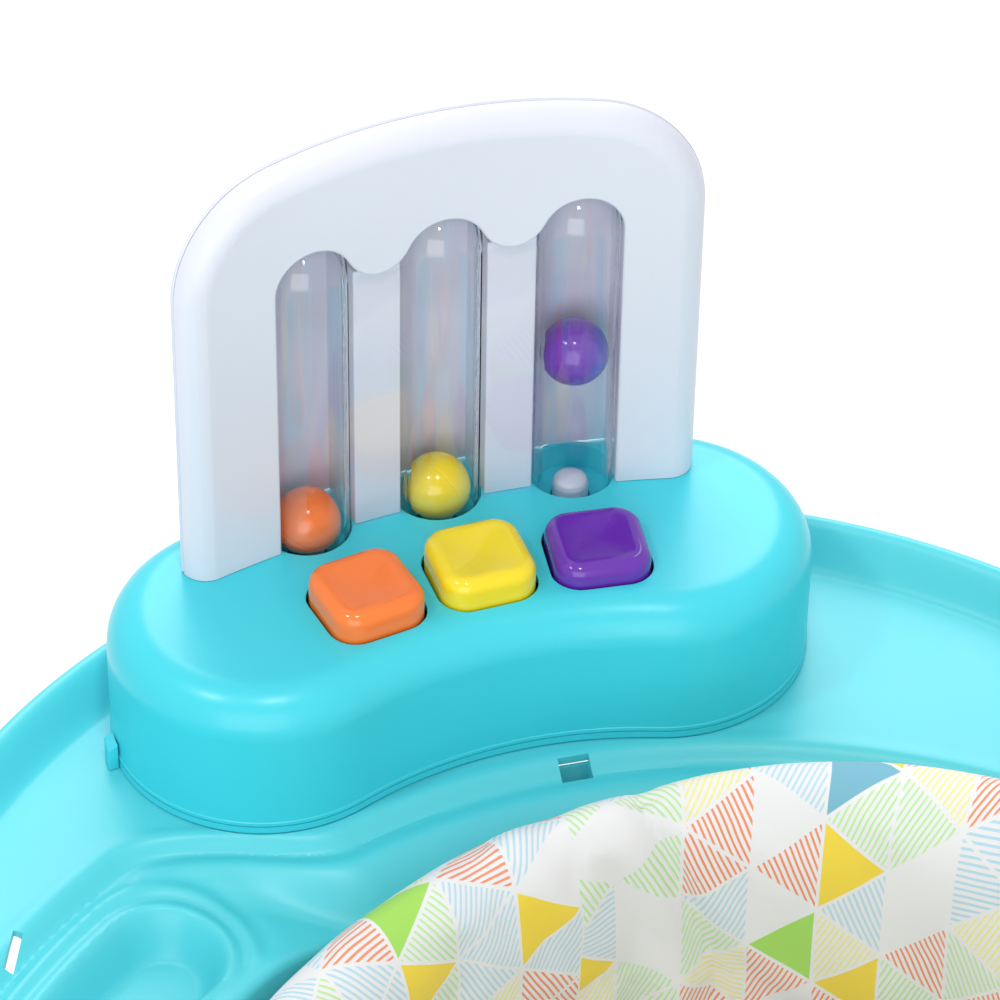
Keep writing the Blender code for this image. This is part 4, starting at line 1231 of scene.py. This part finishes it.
# ---------------------------------------------------------------- legs
class JUMPER_OT_legs(bpy.types.Operator):
    """Three legs with their sockets, feet and rubber pads"""
    bl_idname = "jumper.legs"
    bl_label = "Legs"

    def execute(self, context):
        under = -WALL - GAP - 0.004
        for number, angle in enumerate(LOBE_ANGLES, 1):
            place = turned_matrix(at(LEG_TOP_RADIUS, angle, TRAY_FLOOR), angle, LEG_SPLAY)
            socket = [
                (0.030, under - 0.001, 0.0004), (0.043, under - 0.002, 0.0012),
                (0.044, under - 0.008, 0.004),
            ]
            socket += [(0.034, under - 0.046, 0.0016), (0.0305, under - 0.046, 0.0006)]
            mesh = turned("socket", rounded(socket, 5, closed=True), 72, place, closed=True)
            piece(f"leg_socket_{number}", mesh, "tray", 30)
            end = -(TRAY_FLOOR - FOOT_HEIGHT) / math.cos(LEG_SPLAY)
            top = under - 0.006
            leg = [
                (0.0255, top, 0.0006), (0.030, top, 0.001), (0.030, top - 0.050, 0.02),
                (0.024, end, 0.0008),
            ]
            leg += [(0.021, end, 0.0006)]
            mesh = turned("leg", rounded(leg, 5, closed=True), 72, place, closed=True)
            piece(f"leg_{number}", mesh, "painted", 30)
            low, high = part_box(f"foot_{number}")
            spot = middle(f"foot_{number}")
            base = Matrix.Translation((spot.x, spot.y, low.z - GAP))
            foot = [(0, 0.042, 0), (0.017, 0.042, 0.002), (0.019, 0.038, 0.003), (0.019, 0.0190, 0.002)]
            foot += [(0.028, 0.0185, 0.004), (0.037, 0.008, 0.004), (0.036, GAP, 0.0008), (0, GAP, 0)]
            piece(f"foot_{number}", turned("foot", rounded(foot), 72, base), "tray", 30)
            pad = [(0, 0.0, 0), (0.034, 0.0, 0.0006), (0.034, -0.003, 0.0009), (0.030, -0.003, 0.0003)]
            pad += [
                (0.0295, -0.0022, 0.0003), (0.0285, -0.0022, 0.0003), (0.028, -0.003, 0.0003),
                (0, -0.003, 0),
            ]
            piece(f"foot_pad_{number}", turned("pad", rounded(pad, 3), 72, base), "rubber", 30)
        return {"FINISHED"}


# ---------------------------------------------------------------- suspension
class JUMPER_OT_suspension(bpy.types.Operator):
    """Bounce ring, hangers, springs, plugs and guards"""
    bl_idname = "jumper.suspension"
    bl_label = "Suspension"

    def execute(self, context):
        low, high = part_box("bounce_ring")
        centre = Matrix.Translation((SEAT.x, SEAT.y, 0))
        ring = [
            (0.206, high.z, 0.0015), (0.226, high.z, 0.0025), (0.226, low.z, 0.0025),
            (0.206, low.z, 0.0015),
        ]
        mesh = turned("ring", rounded(ring, 5, closed=True), 160, centre, closed=True)
        piece("bounce_ring", mesh, "painted", 30)
        arm_low = 0.262
        for number, angle in enumerate(LOBE_ANGLES, 1):
            line = [(0.2195, low.z - GAP, 0), (0.2195, arm_low, 0.030), (SPRING_CIRCLE + 0.010, arm_low, 0)]
            path = [at(radius, angle, height) for radius, height in rounded(line, 14)]
            arm = softened(swept("arm", path, 0.006, 24), 0.001, 2, 60)
            piece(f"hanger_arm_{number}", arm, "painted", 30)

            place = Matrix.Translation(at(SPRING_CIRCLE, angle, 0.0))
            rest = arm_low + 0.006 + GAP
            seat = [(0, rest + 0.028, 0), (0.006, rest + 0.028, 0.001), (0.0075, rest + 0.025, 0.001)]
            seat += [
                (0.0075, rest + 0.004, 0.0008), (0.0165, rest + 0.004, 0.0012),
                (0.0165, rest, 0.001), (0, rest, 0),
            ]
            piece(f"spring_seat_{number}", turned("spring_seat", rounded(seat), 48, place), "painted", 30)

            under = TRAY_FLOOR - WALL - 0.024
            plug = [(0, TRAY_FLOOR - 0.0075, 0), (0.008, TRAY_FLOOR - 0.0075, 0.001), (0.008, under, 0.001)]
            plug += [(0.023, under, 0.0014), (0.023, under - 0.006, 0.0014), (0.0075, under - 0.006, 0.0008)]
            plug += [(0.0075, under - 0.026, 0.002), (0.006, under - 0.029, 0.001), (0, under - 0.029, 0)]
            piece(f"spring_plug_{number}", turned("plug", rounded(plug), 48, place), "tray", 30)

            top = under - 0.006 - GAP
            guard = [
                (0.019, top, 0.0005), (0.0215, top, 0.001), (0.0205, 0.290, 0.0011),
                (0.018, 0.290, 0.0008),
            ]
            mesh = turned("guard", rounded(guard, 4, closed=True), 64, place, closed=True)
            piece(f"spring_guard_{number}", mesh, "white", 30)

            node = f"spring_{number}"
            bottom, top_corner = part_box(node)
            obj = piece(node, coil(0.0115, 0.0015, bottom, top_corner, 7, 12), "steel", 80)
            stretch(obj, "bounce_frame", top_corner, bottom)
        return {"FINISHED"}


# ---------------------------------------------------------------- seat
SEAMS = [math.radians(turn) for turn in (-8.0, 82.0, 172.0, 262.0)]
SEAM_LEAN = math.radians(8.0)       # how far a seam drifts on its way down the inner wall


class JUMPER_OT_seat_rings(bpy.types.Operator):
    """Turquoise swivel ring of the seat and the clip under it"""
    bl_idname = "jumper.seat_rings"
    bl_label = "Seat rings"

    def execute(self, context):
        low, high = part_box("bounce_ring")
        centre = Matrix.Translation((SEAT.x, SEAT.y, 0))
        top = high.z + GAP
        bottom = low.z - GAP
        ring = [(0.198, top + 0.005, 0.001), (0.224, top + 0.005, 0.002), (0.224, top, 0.0008)]
        ring += [(0.2054, top, 0.0004), (0.2054, bottom, 0.0006), (0.198, bottom, 0.0006)]
        mesh = turned("ring", rounded(ring, 4, closed=True), 160, centre, closed=True)
        piece("seat_ring", mesh, "tray", 30)
        clip = [
            (0.198, bottom - GAP, 0.0004), (0.2125, bottom - GAP, 0.0008),
            (0.2125, bottom - 0.004, 0.001),
        ]
        clip += [(0.198, bottom - 0.004, 0.0008)]
        mesh = turned("clip", rounded(clip, 4, closed=True), 160, centre, closed=True)
        piece("seat_ring_clip", mesh, "tray", 30)
        return {"FINISHED"}


def closed_spline(points, count):
    """Evenly spaced points on a smooth closed line through the given ones."""
    points = np.array(points, float)
    total = len(points)
    dense = []
    for index in range(total):
        before, here, after, beyond = (points[(index + k) % total] for k in (-1, 0, 1, 2))
        for t in np.linspace(0, 1, 40, endpoint=False):
            dense.append(
                0.5 * (2 * here + (after - before) * t + (2 * before - 5 * here + 4 * after - beyond) * t**2
                       + (3 * here - before - 3 * after + beyond) * t**3)
            )
    dense = np.array(dense + [dense[0]])
    travel = np.concatenate([[0], np.cumsum(np.linalg.norm(np.diff(dense, axis=0), axis=1))])
    spots = np.linspace(0, travel[-1], count, endpoint=False)
    return np.column_stack([np.interp(spots, travel, dense[:, k]) for k in (0, 1)]), spots


def seam_gap(angle, drop):
    """Signed angle to the nearest seam; the seams lean as they go down."""
    lean = SEAM_LEAN * np.clip(drop / 0.09, 0, 1)
    gaps = np.stack([angle_near_zero(angle - seam + lean) for seam in SEAMS])
    nearest = np.abs(gaps).argmin(0)
    return np.take_along_axis(gaps, nearest[None], 0)[0]


def fabric_relief(angle, drop, radius):
    """How far the cloth stands out: seams pull in, panels swell, and gathers run out from the seams."""
    fabric = bpy.context.scene.jumper_fabric
    gap = seam_gap(angle, drop) * radius
    apart = np.abs(gap)
    seam = -fabric.seam_depth * np.exp(-((apart / 0.0045) ** 2)) - 0.0015 * np.exp(-apart / 0.02)
    swell = 0.0016 * smooth(apart / 0.05)
    left = smooth(gap / 0.02)
    fade = np.exp(-apart / 0.085)
    folds = np.sin(apart / 0.0215 * 2 * math.pi * 0.5 + 3.0 * np.sin(drop / 0.035) + angle * 5)
    folds = folds + 0.6 * np.sin(apart / 0.013 * math.pi + drop / 0.011 + 1.7)
    soft = np.sin(angle * 9 + drop * 45) * 0.0007 + np.sin(angle * 17 - drop * 30 + 1) * 0.0004
    gathers = fabric.gather * folds * fade * (0.35 + 0.65 * left) * smooth(apart / 0.012)
    return seam + swell + gathers + soft


class JUMPER_OT_seat_cover(bpy.types.Operator):
    """Padded printed collar of the seat, with seams and gathers"""
    bl_idname = "jumper.seat_cover"
    bl_label = "Seat cover"

    def execute(self, context):
        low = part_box("seat_collar")[0].z
        section = [
            (0.1965, 0.0), (0.1925, 0.5), (0.1945, 0.87), (0.207, 1.0), (0.2195, 0.87),
            (0.2225, 0.5), (0.2155, 0.0),
        ]
        count = 320
        rows = 104
        angles = np.arange(count) * 2 * math.pi / count
        line, travel = closed_spline([(radius, share * 0.1) for radius, share in section], rows)
        crest = int(line[:, 1].argmax())
        edge = COLLAR_EDGE_HEIGHT - COLLAR_TILT * COLLAR_RADIUS * np.sin(angles)
        ahead = np.roll(line, -1, 0) - np.roll(line, 1, 0)
        normals = np.column_stack([-ahead[:, 1], ahead[:, 0]]) / np.linalg.norm(ahead, axis=1)[:, None]
        rings = []
        inside = []
        for row in range(rows):
            radius, share = line[row][0], line[row][1] / 0.1
            heights = low + np.clip(share, 0, 1) * (edge - low)
            drop = edge - heights
            amount = fabric_relief(angles, drop, radius) * float(smooth((share - 0.02) / 0.2))
            outer = float(smooth((radius - 0.205) / 0.010))
            amount = amount * (1 - 0.75 * outer)
            rings.append(polar(radius + normals[row][0] * amount, angles, heights + normals[row][1] * amount))
            inside.append(outer < 0.5)
        mesh = grid_with_print("seat_cover", np.array(rings), angles, travel - travel[crest])
        obj = bpy.data.objects.new("cover", mesh)
        context.scene.collection.objects.link(obj)
        held = [row for row in range(rows) if line[row][1] < 0.006]
        puff(obj, rows, count, held, angles, line)
        bpy.data.objects.remove(obj)
        cover = piece("seat_collar", mesh, "print", 70)
        return {"FINISHED"}


def grid_with_print(name, rings, angles, travel):
    """A closed ring of quads, with the print laid on it in metres."""
    rows, count = rings.shape[:2]
    faces = []
    places = []
    reach = 0.205
    for row in range(rows):
        after = (row + 1) % rows
        for column in range(count):
            right = (column + 1) % count
            faces.append(
                (row * count + column, row * count + right, after * count + right, after * count + column)
            )
            left_edge = column * 2 * math.pi / count * reach
            right_edge = (column + 1) * 2 * math.pi / count * reach
            low = travel[row]
            high = travel[after] if after else travel[row] + travel[1] - travel[0]
            places += [(left_edge, low), (right_edge, low), (right_edge, high), (left_edge, high)]
    mesh = bpy.data.meshes.new(name)
    mesh.from_pydata([tuple(point) for point in rings.reshape(-1, 3)], [], faces)
    layer = mesh.uv_layers.new(name="print")
    layer.data.foreach_set("uv", np.array(places, np.float32).ravel())
    if signed_volume(mesh) < 0:
        mesh.flip_normals()
    return mesh


def signed_volume(mesh):
    points = np.array([vert.co for vert in mesh.vertices])
    corners = np.array([face.vertices[:] for face in mesh.polygons])
    first, second, third, fourth = (points[corners[:, k]] for k in range(4))
    return float(
        np.einsum("ij,ij->i", first, np.cross(second, third)).sum()
        + np.einsum("ij,ij->i", first, np.cross(third, fourth)).sum()
    )


def puff(obj, rows, count, held, angles, line):
    """Swells the padding with a short pressure simulation, held at its hem and along its seams."""
    mesh = obj.data
    fabric = bpy.context.scene.jumper_fabric
    rest = np.array([vert.co for vert in mesh.vertices])
    group = obj.vertex_groups.new(name="held")
    pinned = [row * count + column for row in held for column in range(count)]
    group.add(pinned, 1.0, "REPLACE")
    drop = (line[:, 1].max() - line[:, 1])[:, None] * np.ones(count)[None, :]
    gap = np.abs(seam_gap(np.ones(rows)[:, None] * angles[None, :], drop)) * 0.2
    group.add([int(index) for index in np.flatnonzero((gap < 0.004).ravel())], 1.0, "REPLACE")
    cloth = obj.modifiers.new("padding", "CLOTH")
    settings = cloth.settings
    settings.vertex_group_mass = "held"
    settings.use_pressure = True
    settings.uniform_pressure_force = 4.0
    settings.effector_weights.gravity = 0.0
    settings.tension_stiffness = 12.0
    settings.compression_stiffness = 6.0
    settings.shear_stiffness = 5.0
    settings.bending_stiffness = 0.3
    settings.quality = 4
    cloth.collision_settings.use_collision = False
    cloth.point_cache.frame_start = 1
    cloth.point_cache.frame_end = 20
    scene = bpy.context.scene
    for step in range(1, 15):
        scene.frame_set(step)
    graph = bpy.context.evaluated_depsgraph_get()
    blown = obj.evaluated_get(graph).to_mesh()
    moved = np.array([vert.co for vert in blown.vertices]) - rest
    obj.evaluated_get(graph).to_mesh_clear()
    scene.frame_set(1)
    obj.modifiers.clear()
    reach = np.linalg.norm(moved, axis=1)
    radius = np.hypot(rest[:, 0] - SEAT.x, rest[:, 1] - SEAT.y)
    most = np.where(radius > 0.208, 0.0025, fabric.puff)
    scale = np.where(reach > 1e-9, most * np.tanh(reach / most) / np.maximum(reach, 1e-9), 0)
    mesh.vertices.foreach_set("co", (rest + moved * scale[:, None]).astype(np.float32).ravel())
    mesh.update()


BUCKET_LINE = [
    (0.1955, 0.338), (0.191, 0.300), (0.181, 0.250), (0.160, 0.200), (0.120, 0.170), (0.060, 0.156),
    (0.0, 0.153),
]


def bucket_height(radius):
    """Height of the bucket's outer surface at a distance from the seat axis."""
    radii = [point[0] for point in reversed(BUCKET_LINE)]
    heights = [point[1] for point in reversed(BUCKET_LINE)]
    return np.interp(radius, radii, heights)


class JUMPER_OT_seat_bucket(bpy.types.Operator):
    """Fabric bucket of the seat with its two hemmed leg holes"""
    bl_idname = "jumper.seat_bucket"
    bl_label = "Seat bucket"

    def execute(self, context):
        soft = rounded([(radius, height, 0.03) for radius, height in BUCKET_LINE], 5)
        radii = np.array(soft)
        travel = np.concatenate([[0], np.cumsum(np.linalg.norm(np.diff(radii, axis=0), axis=1))])
        spots = np.linspace(0, travel[-1], 60)
        radii = np.column_stack([np.interp(spots, travel, radii[:, k]) for k in (0, 1)])
        count = 240
        angles = np.arange(count) * 2 * math.pi / count
        rings = []
        for row, (radius, height) in enumerate(radii):
            ease = float(smooth(spots[row] / 0.03)) * float(smooth(radius / 0.08))
            pleat = (
                0.0016 * np.sin(angles * 24 + np.sin(spots[row] * 40) * 1.2)
                + 0.0010 * np.sin(angles * 7 + spots[row] * 30)
            )
            rings.append(
                polar(max(radius, 0.0004) - np.abs(pleat) * ease, angles, height + pleat * 0.4 * ease)
            )
        shell = thickened(loft("bucket", rings, last=True), 0.004)
        tools = []
        hems = []
        for number, hand in enumerate((-1, 1), 1):
            centre = (SEAT.x - 0.072, SEAT.y + hand * 0.062)
            tools.append(drum(0.046, 0.3, Matrix.Translation((*centre, 0.15)), 96))
            path = []
            for turn in np.linspace(0, 2 * math.pi, 96, endpoint=False):
                x = centre[0] + 0.0455 * math.cos(turn)
                y = centre[1] + 0.0455 * math.sin(turn)
                path.append((x, y, float(bucket_height(math.hypot(x - SEAT.x, y - SEAT.y))) + 0.0016))
            hems.append(swept("hem", path, 0.0030, 12, closed=True))
        shell = cut(shell, tools, solver="MANIFOLD")
        lay_print(shell)
        bucket = piece("seat_bucket", shell, "print", 50)
        for number, hem in enumerate(hems, 1):
            obj = bpy.data.objects.new(f"leg_hole_hem_{number}", hem)
            hem.materials.append(finish_of("tape"))
            hem.shade_smooth()
            context.scene.collection.objects.link(obj)
            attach(obj, "seat")
        return {"FINISHED"}


def lay_print(mesh):
    """Lays the print on the bucket by its angle round the seat and its height."""
    layer = mesh.uv_layers.get("print") or mesh.uv_layers.new(name="print")
    for face in mesh.polygons:
        centre = face.center
        about = math.atan2(-(centre.x - SEAT.x), centre.y - SEAT.y)
        for loop in face.loop_indices:
            point = mesh.vertices[mesh.loops[loop].vertex_index].co
            turn = math.atan2(-(point.x - SEAT.x), point.y - SEAT.y)
            turn = about + float(angle_near_zero(turn - about))
            reach = math.hypot(point.x - SEAT.x, point.y - SEAT.y)
            layer.data[loop].uv = (turn * 0.205, point.z - (0.19 - reach) * 0.8)


# ---------------------------------------------------------------- stage
class JUMPER_OT_stage(bpy.types.Operator):
    """Pale floor, soft studio light and the camera"""
    bl_idname = "jumper.stage"
    bl_label = "Stage"

    def execute(self, context):
        stage = context.scene.jumper_stage
        scene = context.scene
        scene.view_settings.view_transform = "Standard"
        world = bpy.data.worlds.new("white_surround")
        world.use_nodes = True
        world.node_tree.nodes["Background"].inputs[0].default_value = (1.0, 1.0, 1.0, 1)
        world.node_tree.nodes["Background"].inputs[1].default_value = stage.sky
        scene.world = world

        floor = bpy.data.objects.new("floor", drum(12.0, 0.02, Matrix.Translation((0, 0, -0.0102)), 96))
        paint = Finish("floor_white", (0.93, 0.93, 0.93), 0.9)
        paint.bump(paint.noise(30.0), 0.0001)
        floor.data.materials.append(paint.material)
        scene.collection.objects.link(floor)

        target = at(0.30, 0.0, POPPER_PLANE)
        self.lamp("sheen", target + 2.2 * Vector((0.268, 0.717, 0.642)), target, 1.73, stage.sheen)
        self.lamp("fill", target + 2.6 * Vector((-0.43, -0.87, 0.25)), target, 2.2, stage.fill)
        dome = popper_place("yellow", TUBE_CIRCLE, POPPER_PLANE + TUBE_TOP)
        self.lamp("spark_left", dome + 1.2 * Vector((-0.58, -0.16, 0.80)), target, 0.13, stage.spark)
        self.lamp("spark_right", dome + 1.1 * Vector((-0.105, -0.43, 0.90)), target, 0.13, stage.spark)

        lens = bpy.data.cameras.new("camera")
        lens.lens = stage.lens
        lens.sensor_width = 36.0
        camera = bpy.data.objects.new("camera", lens)
        scene.collection.objects.link(camera)
        turn, dip, roll = stage.turn, stage.dip, stage.roll
        ahead = Vector((math.sin(turn) * math.cos(dip), math.cos(turn) * math.cos(dip), -math.sin(dip)))
        right = Vector((math.cos(turn), -math.sin(turn), 0))
        up = right.cross(ahead)
        level = math.cos(roll) * right + math.sin(roll) * up
        high = -math.sin(roll) * right + math.cos(roll) * up
        pose = Matrix((level, high, -ahead)).transposed().to_4x4()
        pose.translation = stage.camera_place
        camera.matrix_world = pose
        scene.camera = camera
        return {"FINISHED"}

    def lamp(self, name, place, target, size, power):
        light = bpy.data.lights.new(name, "AREA")
        light.shape = "DISK" if size < 0.5 else "SQUARE"
        light.size = size
        light.energy = power
        lamp = bpy.data.objects.new(name, light)
        lamp.location = place
        lamp.rotation_euler = (target - Vector(place)).to_track_quat("-Z", "Y").to_euler()
        lamp.visible_camera = False
        bpy.context.scene.collection.objects.link(lamp)


# ---------------------------------------------------------------- panel and registration
PIECES = (
    JUMPER_OT_tray, JUMPER_OT_popper_base, JUMPER_OT_panel, JUMPER_OT_tubes, JUMPER_OT_balls,
    JUMPER_OT_plungers, JUMPER_OT_buttons, JUMPER_OT_works, JUMPER_OT_legs, JUMPER_OT_suspension,
    JUMPER_OT_seat_rings, JUMPER_OT_seat_cover, JUMPER_OT_seat_bucket, JUMPER_OT_stage,
)
SETTINGS = {
    "jumper_colours": JumperColours,
    "jumper_tray": JumperTray,
    "jumper_popper": JumperPopper,
    "jumper_fabric": JumperFabric,
    "jumper_stage": JumperStage,
}


class JUMPER_PT_looks(bpy.types.Panel):
    """Buttons that build each piece, with the sizes and colours they use"""
    bl_idname = "JUMPER_PT_looks"
    bl_label = "Activity jumper"
    bl_space_type = "VIEW_3D"
    bl_region_type = "UI"
    bl_category = "Jumper"

    def draw(self, context):
        for operator in PIECES:
            self.layout.operator(operator.bl_idname)
        for name, group in SETTINGS.items():
            box_layout = self.layout.box()
            for setting in group.__annotations__:
                box_layout.prop(getattr(context.scene, name), setting)


def register():
    for group in SETTINGS.values():
        bpy.utils.register_class(group)
    for operator in PIECES:
        bpy.utils.register_class(operator)
    bpy.utils.register_class(JUMPER_PT_looks)
    for name, group in SETTINGS.items():
        setattr(bpy.types.Scene, name, PointerProperty(type=group))


def unregister():
    for name in SETTINGS:
        delattr(bpy.types.Scene, name)
    bpy.utils.unregister_class(JUMPER_PT_looks)
    for operator in reversed(PIECES):
        bpy.utils.unregister_class(operator)
    for group in SETTINGS.values():
        bpy.utils.unregister_class(group)


def main():
    register()
    for operator in PIECES:
        group, name = operator.bl_idname.split(".")
        getattr(getattr(bpy.ops, group), name)()


if __name__ == "__main__":
    main()
